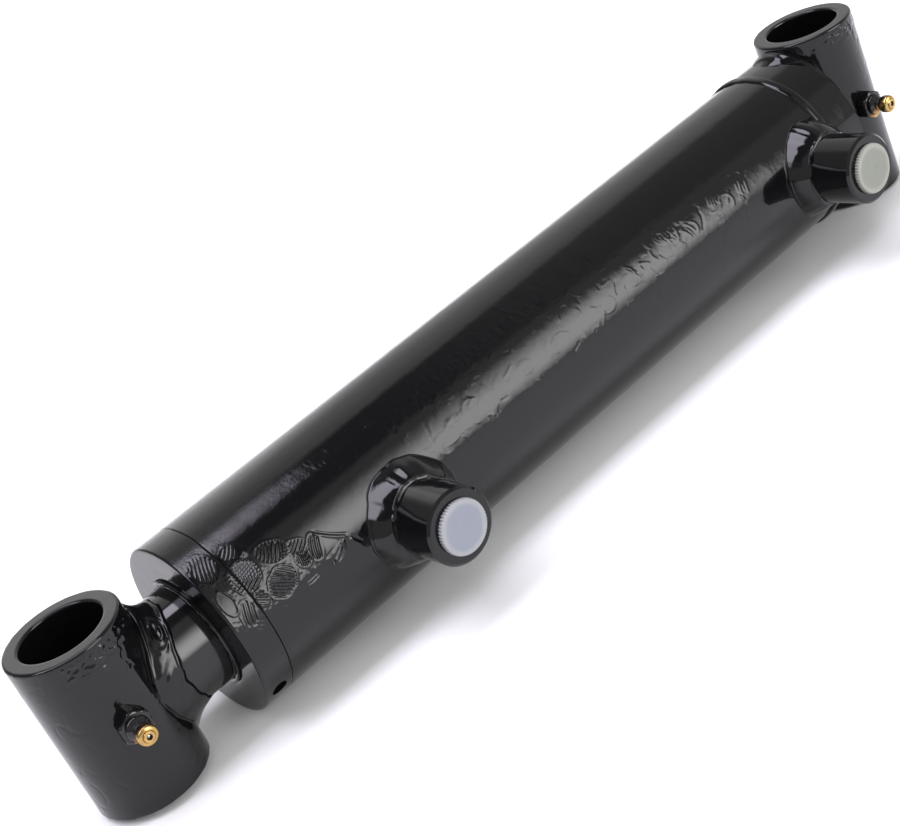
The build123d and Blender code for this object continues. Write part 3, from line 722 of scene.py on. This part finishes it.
def make_port_weld(name, distance, seed, reach):
    """Bead around a port boss: steep at its toe on the barrel, a broad shoulder, and a small
    bead against the boss. reach moves the toe out along the barrel."""
    boss = PORT_BOSS_RADIUS
    angles = np.linspace(0, TURN, 200, endpoint=False)
    across = np.linspace(0, 1, 34)
    t, angle = np.meshgrid(across, angles)
    along, aside = np.cos(angle), np.sin(angle)
    wide = ring_noise(along, aside, 2.2, 9, seed)
    fine = ring_noise(along, aside, 5.5, 19, seed + 1)
    toe = boss + 7.6 + reach * np.abs(along) ** 1.5 + 0.9 * wide + 0.45 * fine
    toe = np.minimum(toe, PORT_TOE_LIMIT)
    climb = 9.4 + 0.7 * ring_noise(along, aside, 2.0, 30, seed + 2) + 1.6 * np.abs(aside)

    def barrel_height(radial):
        """Height of the barrel's skin at a distance from the port axis."""
        return np.sqrt(np.maximum(BARREL_RADIUS ** 2 - (radial * aside) ** 2, 0.0))

    root = barrel_height(boss)
    top = root + climb
    round_off = math.pi / 2 * t
    foot = barrel_height(toe)
    radial = toe + (boss - toe) * (0.45 * t + 0.55 * (1 - np.cos(round_off)))
    rise = 0.40 * t ** 1.6 + 0.60 * np.sin(round_off) ** 1.25
    height = foot + (top - foot) * rise
    height = np.maximum(height, barrel_height(radial) + 0.9 * np.sin(math.pi * t) ** 0.6)
    swell = 0.55 * wide * np.sin(math.pi * t) + 0.30 * fine * np.sin(math.pi * t) ** 2
    bead = 0.50 * peak(t, 0.93, 0.035) * (1 + 0.9 * fine)
    toe_lip = 0.28 * peak(t, 0.045, 0.03)
    height = height + swell + 0.5 * bead + toe_lip
    radial = radial + bead + 0.5 * toe_lip + 0.35 * swell
    height = np.where(t <= 0, foot - 0.4, height)
    points = port_point(distance, radial, height, angle)
    inner_radial = np.full((len(angles), 2), boss - 1.5)
    inner_height = np.stack([top[:, 0], root[:, 0] - 3.0], axis=1)
    inner = port_point(distance, inner_radial, inner_height, np.stack([angles, angles], axis=1))
    return grid_mesh(name, np.concatenate([points, inner], axis=1), sharp=55)


INNER_WALL = 22.5  # radius in the wall of a cross tube, between its bore and its skin


def make_flare_weld(name, outline, seed, ripple, lips=(), segments=220, rows=46):
    """A weld that blends a round bar into a cross tube. outline holds (distance, half width
    along Y, half width along Z); lips are (share of the way along, height, width) of raised
    edges. Nothing reaches the pin bore: what lies deeper is drawn back into the tube's wall."""
    outline = np.array(outline)
    share = np.linspace(0, 1, len(outline))
    across = np.linspace(0, 1, rows)
    fine = np.linspace(0, 1, 400)

    def curve(column):
        """Outline column smoothed between its stations."""
        raw = np.interp(fine, share, outline[:, column])
        kernel = np.hanning(41) / np.hanning(41).sum()
        reach = len(kernel) // 2
        head = 2 * raw[0] - raw[reach:0:-1]
        tail = 2 * raw[-1] - raw[-2:-2 - reach:-1]
        padded = np.concatenate([head, raw, tail])
        return np.interp(across, fine, np.convolve(padded, kernel, "valid"))

    angles = np.linspace(0, TURN, segments, endpoint=False)
    distance, half_y, half_z = (curve(i) for i in range(3))
    t, angle = np.meshgrid(across, angles)
    cy, cz = np.cos(angle), np.sin(angle)
    radius = 1.0 / np.sqrt((cy / half_y) ** 2 + (cz / half_z) ** 2)
    u, v = 3.0 * cy + 11, 3.0 * cz + t * 3.0 + 11
    uneven = 0.65 * lattice_noise(u * 0.5, v * 0.5, seed) + 0.35 * lattice_noise(u * 1.3, v * 1.1, seed + 1)
    blobs = ring_noise(cy, cz, 6.5, 41, seed + 5, t * 5.0)
    radius = radius + ripple * uneven + 0.35 * ripple * blobs
    shift = 0.035 * ring_noise(cy, cz, 3.0, 5, seed + 9)
    for share_along, height, width in lips:
        radius = radius + height * peak(t - share_along, shift, width)
    points = xyz(-distance[None, :] + 0 * angle, -radius * cy, radius * cz)
    first = np.zeros((segments, 1, 3))
    first[:, 0, 0] = -distance[0]
    shrink = np.array((0.92, 0.8, 0.65, 0.5, 0.35, 0.2, 0.1, 0.0))[None, :, None]
    last = points[:, -1:, :] * np.concatenate([np.ones_like(shrink), shrink, shrink], axis=2)
    points = np.concatenate([first, points, last], axis=1)
    wall = -np.sqrt(np.maximum(INNER_WALL ** 2 - points[..., 1] ** 2, 0.0))
    points[..., 0] = np.minimum(points[..., 0], wall)
    return grid_mesh(name, points, wrap_columns=False, sharp=60)


EYE_RADIUS, EYE_BORE = 27.0, 19.30
ROD_EYE_LENGTH, BASE_EYE_LENGTH = 82.55, 100.0
ROD_RADIUS = 25.4
RETRACTED = 514.35


ROD_WELD_EDGE = 486.0  # distance of the weld's edge on the rod, at its sides
ROD_WELD_SCALLOP = 12.3  # how much nearer the gland that edge runs above and below
ROD_WELD_CORE = (484.0, 492.0)  # where the mesh closes, inside the rod
CRATER_TURN = 0.85  # angle of the crater in the weld, from the port side upward


def rod_weld_relief(t, turn, side, rise, ragged):
    """Height of the rod weld's swells, raised edges and crater over its plain band."""
    swell = 0.5 * ring_noise(side, rise, 3.2, 11, 75, t * 2.6)
    swell += 0.22 * ring_noise(side, rise, 8.0, 41, 76, t * 6.0)
    wrapped = (turn + math.pi) % TURN - math.pi
    rough_zone = 0.22 + 0.78 * peak(wrapped, CRATER_TURN, 0.5)
    lips = 0.75 * peak(t, 0.10, 0.06) + 0.85 * peak(t, 0.90, 0.06)
    lips *= rough_zone * (1.15 + 0.35 * ragged)
    swell *= 0.35 + 0.65 * rough_zone
    pock = np.sqrt(((t - 0.46) / 0.17) ** 2 + ((wrapped - CRATER_TURN) / 0.15) ** 2)
    crater = 0.55 * peak(pock, 1.0, 0.28) + 0.35 * peak(pock, 1.9, 0.25) - 0.8 * peak(pock, 0.0, 0.6)
    edge = ease(0.0, 0.05, t) * (1 - ease(0.95, 1.0, t))
    return (swell + lips + crater * (side > 0)) * edge


def make_rod_weld():
    """Weld that ties the rod to its cross tube: a band between a wavering edge on the rod and
    a toe on the tube, flared above and below."""
    angles = np.linspace(0, TURN, 300, endpoint=False)
    across = np.linspace(0, 1, 44)
    t, turn = np.meshgrid(across, angles)
    side, rise = np.cos(turn), np.sin(turn)
    ragged = ring_noise(side, rise, 4.0, 9, 71) + 0.5 * ring_noise(side, rise, 9.0, 9, 72)
    start_d = ROD_WELD_EDGE - ROD_WELD_SCALLOP * rise ** 2 + 0.7 * ragged
    start = xyz(start_d, ROD_RADIUS * side, ROD_RADIUS * rise)
    ragged = ring_noise(side, rise, 4.0, 29, 73) + 0.5 * ring_noise(side, rise, 9.0, 9, 74)
    wrap = math.radians(60) * side ** 2 * (1 + 0.03 * ragged)
    flare = np.where(rise > 0, 35.5, 37.5)
    toe_y = EYE_RADIUS * np.sin(wrap) * np.sign(side)
    toe = xyz(RETRACTED - EYE_RADIUS * np.cos(wrap), toe_y, flare * rise)
    knee_d = start_d + 0.62 * (toe[..., 0] - start_d)
    knee_r = ROD_RADIUS + 0.4 + 2.4 * side ** 2
    knee = xyz(knee_d, knee_r * side, knee_r * rise)
    w = t[..., None]
    points = (1 - w) ** 2 * start + 2 * w * (1 - w) * knee + w * w * toe
    outward = xyz(0.0 * side, side, rise)
    points = points + outward * rod_weld_relief(t, turn, side, rise, ragged)[..., None]
    hidden_first = start - outward * 0.6
    hidden_last = toe + xyz(np.full_like(side, 0.7), -0.3 * side, -0.3 * rise)
    core_first, core_last = (np.tile((d, 0.0, 0.0), (len(angles), 1, 1)) for d in ROD_WELD_CORE)
    rings = (core_first, hidden_first[:, :1], points, hidden_last[:, :1], core_last)
    stack = np.concatenate(rings, axis=1) * np.array((-1.0, -1.0, 1.0))
    return grid_mesh("rod_eye_bead", stack, wrap_columns=False, sharp=60)


BASE_WELD = (
    (38.0, 19.0, 44.1), (35.0, 24.0, 45.6), (31.5, 28.5, 47.2), (28.0, 32.5, 48.2),
    (24.5, 34.6, 47.2), (20.0, 32.0, 43.6), (15.0, 28.2, 38.0), (11.0, 25.6, 33.0),
    (8.5, 23.6, 29.5),
)
BASE_WELD_LIPS = ((0.22, 0.7, 0.05), (0.55, 0.5, 0.06), (0.8, 0.8, 0.06))


# ---- cross tubes ----
# Rings pressed into a cross tube: arc length from the port side, height and radius.
TUBE_RINGS = ((-36.0, -26.0, 5.0), (-30.0, 9.0, 3.4), (-22.0, 14.0, 4.2), (14.0, -24.0, 3.0))


def tube_marks(arc, z, seed, strength, half):
    """Creases, puckers and dents in the paint of a cross tube, thickest by its upper rim."""
    relief = Relief(arc, z)
    rng = np.random.RandomState(seed)
    for i in range(int(90 * strength)):
        centre_a, centre_z = rng.uniform(-45, 32), rng.uniform(-half + 3, half - 2)
        half_length, bend = rng.uniform(1.5, 4.5), rng.uniform(-0.4, 0.4)
        relief.stamp(bent_ridge, centre_a, centre_z, 6.0, rng.uniform(-0.17, 0.14), half_length,
                     rng.uniform(0, math.pi), bend, rng.uniform(0.5, 0.8))
    for i in range(int(130 * strength)):
        centre_a = rng.uniform(-14, 26)
        centre_z = half - 2.5 - abs(rng.normal(0.0, 9.0)) * (0.35 + 0.65 * ease(-14, 22, centre_a))
        gain, half_length = rng.choice((-1, 1)) * rng.uniform(0.14, 0.34), rng.uniform(1.6, 4.6)
        relief.stamp(bent_ridge, centre_a, centre_z, 6.0, gain, half_length,
                     rng.normal(0.0, 0.8), rng.uniform(-0.5, 0.5), rng.uniform(0.5, 0.9))
    depth = -0.14 * strength
    for centre_a, centre_z, radius in TUBE_RINGS:
        relief.stamp(arc_ridge, centre_a, centre_z, 9.0, depth, radius, rng.uniform(0, TURN), 4.2, 0.5, 1.5)
    slow = lattice_noise(arc * 0.12, z * 0.12, seed)
    relief.h += 0.022 * slow + 0.008 * lattice_noise(arc * 0.5, z * 0.45, seed + 1)
    return relief.h


def make_cross_tube(name, centre_x, length, seed, strength):
    """A cross tube with paint-rounded rims and creased paint."""
    bore, half = EYE_BORE, length / 2
    pitch = 0.62 * COARSE
    rim = rounded([(half, bore), (half, EYE_RADIUS), (-half, EYE_RADIUS), (-half, bore)], 1.5, steps=5)
    z_list, r_list, skin = [], [], []
    for i, (z, r) in enumerate(rim):
        following = rim[(i + 1) % len(rim)]
        z_list.append(z)
        r_list.append(r)
        skin.append(0.0)
        if abs(z - following[0]) > half and r > bore + 1:
            for station in spread((-z, -following[0], pitch))[1:-1]:
                z_list.append(-station)
                r_list.append(r)
                skin.append(1.0)
    angles = np.linspace(0, TURN, int(TURN * EYE_RADIUS / pitch), endpoint=False)
    z, angle = np.meshgrid(np.array(z_list), angles)
    radius, skin = (np.broadcast_to(np.array(v), z.shape).copy() for v in (r_list, skin))
    arc = (angle - math.pi * 1.5) * EYE_RADIUS
    radius += skin * tube_marks(arc, z, seed, strength, half) * ease(0.0, 1.2, half - 1.7 - np.abs(z))
    lump = 0.10 * strength * lattice_noise(arc * 0.45, z * 0.0 + 3, seed + 3)
    rim_zone = ease(half - 2.2, half - 0.6, np.abs(z)) * (radius > bore + 1.2)
    radius += rim_zone * lump
    points = xyz(centre_x + radius * np.cos(angle), radius * np.sin(angle), z)
    return grid_mesh(name, points, sharp=40)


# ---- grease fittings ----
FITTING_OFFSET = 1.3
HEXAGON_FLATS, HEXAGON_LOW, HEXAGON_HIGH, HEXAGON_TURN = 14.0, 26.2, 32.6, 0.52


def fitting_frame(centre_x, tilt):
    """Matrix whose local Z points out along a grease fitting, from the pin axis."""
    outward = Vector((-math.sin(math.radians(tilt)), -math.cos(math.radians(tilt)), 0.0))
    turn = outward.to_track_quat("Z", "X").to_matrix().to_4x4()
    return Matrix.Translation((centre_x * MM, 0, FITTING_OFFSET * MM)) @ turn


def make_hexagon(name):
    """Hexagonal body of a grease fitting, with chamfered corners softened by the paint."""
    segments, sixth = 96, math.pi / 3
    low, high, half = HEXAGON_LOW, HEXAGON_HIGH, HEXAGON_FLATS / 2
    angles = np.linspace(0, TURN, segments, endpoint=False)
    corner = half / math.cos(sixth / 2)
    local = (angles - HEXAGON_TURN + sixth / 2) % sixth - sixth / 2
    flats = np.minimum(half / np.cos(local), corner - 0.22)
    # (height, largest radius)
    outline = (
        (low, 0.0), (low, half - 0.35), (low + 0.25, half + 0.05), (low + 0.8, corner),
        (high - 1.0, corner), (high - 0.45, half + 0.3), (high - 0.08, half - 0.3),
        (high, half - 0.7), (high + 0.02, 3.2), (high + 0.02, 0.0),
    )
    rows = []
    for height, limit in outline:
        radius = np.minimum(flats, limit)
        rows.append(xyz(radius * np.cos(angles), radius * np.sin(angles), np.full(segments, height)))
    return grid_mesh(name, np.stack(rows, axis=1), wrap_columns=False, sharp=32)


# Corners of a grease nipple, as (radius, height over the pin axis, rounding).
FITTING_NIPPLE = (
    (0.0, 20.5, 0.0), (4.83, 20.5, 0.0), (4.83, 31.7, 0.5), (5.6, 32.3, 0.5), (5.6, 33.9, 0.7),
    (3.4, 35.7, 0.3), (3.75, 36.1, 0.15), (3.75, 36.8, 0.15), (3.3, 37.2, 0.2),
    (3.3, 38.2, 0.4), (4.6, 39.1, 0.8), (4.6, 43.1, 1.7), (3.0, 43.75, 0.1), (2.8, 43.5, 0.1),
    (2.6, 43.75, 0.1), (2.45, 44.45, 0.3), (1.3, 44.45, 0.12), (1.24, 43.3, 0.0),
    (0.0, 43.2, 0.0),
)
MOUTH_RADIUS, MOUTH_HEIGHT = 1.30, 43.1


def make_nipple(name):
    """Grease nipple, with a dark brown painted shade inside its mouth round the check ball as its second
    material.
    """
    radii, heights = np.array(softened(FITTING_NIPPLE)).T
    r, angle = np.meshgrid(radii, np.linspace(0, TURN, 72, endpoint=False))
    points = xyz(r * np.cos(angle), r * np.sin(angle), np.broadcast_to(heights, r.shape))
    nipple = grid_mesh(name, points, wrap_columns=False, sharp=35)
    nipple.data.materials.append(OVERSPRAY)
    # second material: dark brown painted shade for the faces inside the mouth, standing in for the shade of
    # the hole
    nipple.data.materials.append(PAINTED_MOUTH_SHADE)
    for face in nipple.data.polygons:
        across = math.hypot(face.center.x, face.center.y) / MM
        if across < MOUTH_RADIUS and face.center.z / MM > MOUTH_HEIGHT:
            face.material_index = 1
    return nipple


# ---- shipping plugs ----
PORT_FACE = 76.7
PLUG_TEETH, TOOTH_POINTS, TOOTH_DEPTH = 52, 10, 0.52
PLUG_FLANGE, PLUG_STEM, PLUG_WALL = 12.65, 9.46, 1.6
# A plug's section: height over the boss face, radius, and share of the tooth depth.
PLUG_SECTION = (
    (-12.0, PLUG_STEM - PLUG_WALL, 0.0), (-12.0, PLUG_STEM - 0.5, 0.0), (-11.5, PLUG_STEM, 0.0),
    (0.02, PLUG_STEM, 0.0), (0.02, PLUG_FLANGE - 0.5, 0.4), (0.12, PLUG_FLANGE - 0.1, 1.0),
    (0.3, PLUG_FLANGE, 1.0), (1.9, PLUG_FLANGE - 0.05, 1.0), (2.15, PLUG_FLANGE - 0.15, 0.8),
    (2.34, PLUG_FLANGE - 0.42, 0.2), (2.42, PLUG_FLANGE - 0.75, 0.0),
    (2.42, PLUG_FLANGE - 1.5, 0.0), (2.36, PLUG_FLANGE - 2.4, 0.0),
    (2.3, PLUG_FLANGE - 3.4, 0.0), (2.28, 5.0, 0.0), (2.3, 1.4, 0.0), (2.2, 0.9, 0.0),
    (2.2, 0.0, 0.0), (-0.2, 0.0, 0.0), (-0.2, PLUG_STEM - PLUG_WALL, 0.0),
    (-12.0, PLUG_STEM - PLUG_WALL, 0.0),
)


def make_plug(name, distance):
    """Push-in plug: finely serrated flange with a flat, slightly dished top, and a hollow stem."""
    segments = PLUG_TEETH * TOOTH_POINTS
    angles = np.linspace(0, TURN, segments, endpoint=False)
    tooth = np.abs(((angles * PLUG_TEETH / TURN) % 1.0) * 2 - 1)
    serration = TOOTH_DEPTH * ease(0.25, 0.75, tooth)
    rows = []
    for height, radius, share in PLUG_SECTION:
        heights = np.full(segments, PORT_FACE + height)
        rows.append(port_point(distance, radius - serration * share, heights, angles))
    return grid_mesh(name, np.stack(rows, axis=1), wrap_columns=False, sharp=38)


# ---- materials ----
ENAMEL_BLACK = (0.0035, 0.0035, 0.004)


def principled(name, colour, roughness, metallic=0.0):
    """A new material with its graph, its shader and the object coordinates."""
    material = bpy.data.materials.new(name)
    material.use_nodes = True
    shader = material.node_tree.nodes["Principled BSDF"]
    shader.inputs["Base Color"].default_value = (*colour, 1.0)
    shader.inputs["Roughness"].default_value = roughness
    shader.inputs["Metallic"].default_value = metallic
    g = Graph(material.node_tree)
    return material, g, shader, g.node("ShaderNodeTexCoord").outputs["Object"]


def noise(g, vector, scale, detail=2.0, roughness=0.5):
    made = g.node("ShaderNodeTexNoise")
    g.put(made.inputs["Vector"], vector)
    made.inputs["Scale"].default_value = scale
    made.inputs["Detail"].default_value = detail
    made.inputs["Roughness"].default_value = roughness
    return made.outputs["Fac"]


def bump(g, height, distance, strength=1.0, after=None):
    made = g.node("ShaderNodeBump")
    made.inputs["Strength"].default_value = strength
    made.inputs["Distance"].default_value = distance
    g.put(made.inputs["Height"], height)
    if after is not None:
        g.put(made.inputs["Normal"], after)
    return made.outputs["Normal"]


def ragged(g, vector, scale, size):
    """Noise of about the given size, either side of zero."""
    return g.product(g.math("SUBTRACT", noise(g, vector, scale, 3.0, 0.6), 0.5), size)


def black_paint(name, speckled=False):
    """Thick gloss black enamel: orange peel, faint dust, uneven gloss. Speckled paint is also
    hammered along the top of the barrel, toward the gland."""
    material, g, shader, place_at = principled(name, ENAMEL_BLACK, 0.12)
    shader.inputs["IOR"].default_value = 1.43
    peel = noise(g, place_at, 420.0, 3.0, 0.55)
    waves = noise(g, place_at, 95.0, 2.0, 0.5)
    normal = bump(g, peel, 0.00010, 0.22)
    normal = bump(g, waves, 0.0006, 0.20, normal)
    if speckled:
        x, y, z = g.axes(place_at)
        hammered = noise(g, place_at, 1250.0, 3.0, 0.6)
        along = g.ramp(x, -0.360, -0.440)
        above = g.ramp(z, 0.0330, 0.0375)
        normal = bump(g, g.product(hammered, along, above), 0.00010, 0.8, normal)
    gloss = g.ramp(noise(g, place_at, 38.0, 4.0, 0.6), 0.3, 0.75, 0.05, 0.09)
    dust = g.ramp(noise(g, place_at, 900.0, 2.0, 0.5), 0.70, 0.78)
    tint = g.mix_colour(g.product(dust, 0.5), (*ENAMEL_BLACK, 1), (0.02, 0.02, 0.022, 1))
    g.feed(shader, base_color=tint, roughness=gloss, normal=normal)
    return material


def gold_metal():
    """Clean yellow brass."""
    material, g, shader, place_at = principled("yellow_brass", (0.78, 0.52, 0.20), 0.25, 1.0)
    cloud = noise(g, place_at, 420.0, 3.0, 0.6)
    colour = g.mix_colour(cloud, (0.88, 0.62, 0.27, 1), (0.60, 0.35, 0.12, 1))
    normal = bump(g, noise(g, place_at, 2600.0, 2.0), 0.00004, 0.4)
    g.feed(shader, base_color=colour, roughness=g.ramp(cloud, 0.3, 0.8, 0.18, 0.36), normal=normal)
    return material


def overspray_brass():
    """Brass whose upper side caught the black paint, with a brown ragged border."""
    material, g, shader, place_at = principled("overpainted_brass", (0.80, 0.53, 0.20), 0.25, 1.0)
    x, y, z = g.axes(place_at)
    cloud = noise(g, place_at, 420.0, 3.0, 0.6)
    # painted where the height over the fitting's axis exceeds a border that climbs outward
    border = g.total(z, y, 0.0352, ragged(g, place_at, 300.0, 0.004))
    painted = g.ramp(border, -0.0002, 0.0003)
    stained = g.ramp(border, -0.0028, 0.0)
    brass = g.mix_colour(cloud, (0.60, 0.42, 0.16, 1), (0.34, 0.20, 0.07, 1))
    brown = g.mix_colour(stained, brass, (0.20, 0.09, 0.035, 1))
    g.feed(shader, base_color=g.mix_colour(painted, brown, (*ENAMEL_BLACK, 1)),
           metallic=g.math("SUBTRACT", 1.0, painted), roughness=g.ramp(painted, 0.0, 1.0, 0.27, 0.08),
           normal=bump(g, noise(g, place_at, 1800.0, 2.0), 0.00005, 0.4))
    return material


def plug_plastic(name, face_colour, rim_colour, distance):
    """Polyethylene: a slightly darker dished centre inside a paler rim."""
    material, g, shader, place_at = principled(name, face_colour, 0.42)
    x, y, z = g.axes(place_at)
    x = g.total(x, distance * MM)
    reach = g.math("SQRT", g.total(g.product(x, x), g.product(z, z)))
    cloud = noise(g, place_at, 160.0, 3.0, 0.6)
    edge = g.ramp(g.total(reach, ragged(g, place_at, 160.0, 0.002)), 0.0090, 0.0112)
    shader.inputs["Subsurface Weight"].default_value = 0.15
    shader.inputs["Subsurface Radius"].default_value = (0.003, 0.003, 0.003)
    shader.inputs["Subsurface Scale"].default_value = 1.0
    g.feed(shader, base_color=g.mix_colour(edge, (*face_colour, 1), (*rim_colour, 1)),
           roughness=g.ramp(cloud, 0.3, 0.8, 0.36, 0.5),
           normal=bump(g, noise(g, place_at, 900.0, 2.0), 0.00005, 0.3))
    return material


def rod_finish():
    """Hard chrome, with the stub that stood outside the gland painted over."""
    material, g, shader, place_at = principled("chrome_and_paint", (0.75, 0.76, 0.78), 0.08, 1.0)
    x, y, z = g.axes(place_at)
    painted = g.ramp(g.total(x, ragged(g, place_at, 260.0, 0.0012)), -0.4660, -0.4664)
    stretch = g.node("ShaderNodeMapping")
    g.put(stretch.inputs["Vector"], place_at)
    stretch.inputs["Scale"].default_value = (900.0, 8.0, 8.0)
    lay = noise(g, stretch.outputs[0], 1.0, 2.0, 0.6)
    height = g.total(g.product(lay, 0.2), noise(g, place_at, 420.0, 3.0))
    g.feed(shader, base_color=g.mix_colour(painted, (0.72, 0.73, 0.75, 1), (*ENAMEL_BLACK, 1)),
           metallic=g.math("SUBTRACT", 1.0, painted), roughness=g.ramp(lay, 0.3, 0.7, 0.06, 0.11),
           normal=bump(g, height, 0.00006, 0.2))
    return material


def plain_finish(name, colour, roughness, metallic, grain, depth):
    """Turned metal or moulded plastic of the inner parts."""
    material, g, shader, place_at = principled(name, colour, roughness, metallic)
    cloud = noise(g, place_at, grain, 3.0, 0.6)
    darker = tuple(0.75 * c for c in colour)
    g.feed(shader, base_color=g.mix_colour(cloud, (*colour, 1), (*darker, 1)),
           roughness=g.ramp(cloud, 0.3, 0.7, roughness * 0.85, min(1.0, roughness * 1.2)),
           normal=bump(g, cloud, depth, 0.4))
    return material


PAINT = black_paint("black_enamel")
SKIN_PAINT = black_paint("black_enamel_skin", speckled=True)
OVERSPRAY = overspray_brass()
# dark brown painted shade for the inside of a grease nipple's mouth, in place of the shade in that hole
PAINTED_MOUTH_SHADE = plain_finish("painted_mouth_shade", (0.02, 0.012, 0.006), 0.35, 0.0, 900.0, 0.00003)
SLOT_MATERIALS = {
    "black_paint": PAINT,
    "rod_chrome": rod_finish(),
    "machined_steel": plain_finish("turned_steel", (0.42, 0.42, 0.44), 0.32, 1.0, 300.0, 0.00004),
    "spring_steel": plain_finish("bright_steel", (0.55, 0.55, 0.57), 0.22, 1.0, 900.0, 0.00002),
    "fitting_brass": gold_metal(),
    "seal_rubber": plain_finish("nitrile", (0.02, 0.02, 0.02), 0.55, 0.0, 700.0, 0.00003),
    "seal_plastic": plain_finish("filled_nylon", (0.07, 0.11, 0.18), 0.45, 0.0, 500.0, 0.00003),
    "seal_polyurethane": plain_finish("polyurethane", (0.03, 0.05, 0.09), 0.3, 0.0, 400.0, 0.00003),
}
slot_of = {entry["node"]: entry["material_slot"] for entry in frame["record"]["subparts"]}
for name, obj in nodes.items():
    finish = SLOT_MATERIALS.get(slot_of[name], PAINT)
    if name == "rod_wiper":
        finish = PAINT
    obj.data.materials.clear()
    obj.data.materials.append(finish)


def place_painted(piece, body, node, material=PAINT):
    """Places a painted piece that stands for one CAD node."""
    place(piece, body, "black_paint", node, material=material)


BASE_PORT, ROD_PORT = 66.0, 366.7
place_painted(make_barrel(), "barrel", "barrel_tube", SKIN_PAINT)
place_painted(make_gland(), "barrel", "gland", SKIN_PAINT)
place_painted(make_seam_weld(), "barrel", "base_cap_weld")
place_painted(make_port_weld("rod_port_bead", ROD_PORT, 51, 0.6), "barrel", "rod_port_weld")
place_painted(make_port_weld("base_port_bead", BASE_PORT, 61, -1.6), "barrel", "base_port_weld")
place_painted(make_rod_weld(), "rod", "rod_eye_weld")
base_bead = make_flare_weld("base_tube_bead", BASE_WELD, 81, 0.75, BASE_WELD_LIPS)
place_painted(base_bead, "barrel", "base_cross_tube_weld")
rod_eye = make_cross_tube("rod_eye", -RETRACTED, ROD_EYE_LENGTH, 91, 1.0)
place_painted(rod_eye, "rod", "rod_cross_tube")
base_eye = make_cross_tube("base_eye", 0.0, BASE_EYE_LENGTH, 95, 0.3)
place_painted(base_eye, "barrel", "base_cross_tube")

# end, place of the pin, lean of the fitting in degrees, and body
for end, centre_x, tilt, body in (("rod", -RETRACTED, 4.5, "rod"), ("base", 0.0, 0.0, "barrel")):
    pose = fitting_frame(centre_x, tilt)
    nipple = make_nipple(end + "_grease_nipple")
    hexagon = make_hexagon(end + "_grease_hexagon")
    for piece in (nipple, hexagon):
        piece.data.transform(pose)
    place(nipple, body, "fitting_brass", end + "_grease_fitting")
    place(hexagon, body, "fitting_brass", material=OVERSPRAY)

WHITE = plug_plastic("plug_bluish_white", (0.228, 0.244, 0.290), (0.300, 0.305, 0.322), ROD_PORT)
IVORY = plug_plastic("plug_warm_ivory", (0.216, 0.224, 0.192), (0.292, 0.296, 0.255), BASE_PORT)
place(make_plug("rod_plug", ROD_PORT), "rod_port_plug", "plug_white", "rod_port_plug", material=WHITE)
place(make_plug("base_plug", BASE_PORT), "base_port_plug", "plug_ivory", "base_port_plug", material=IVORY)
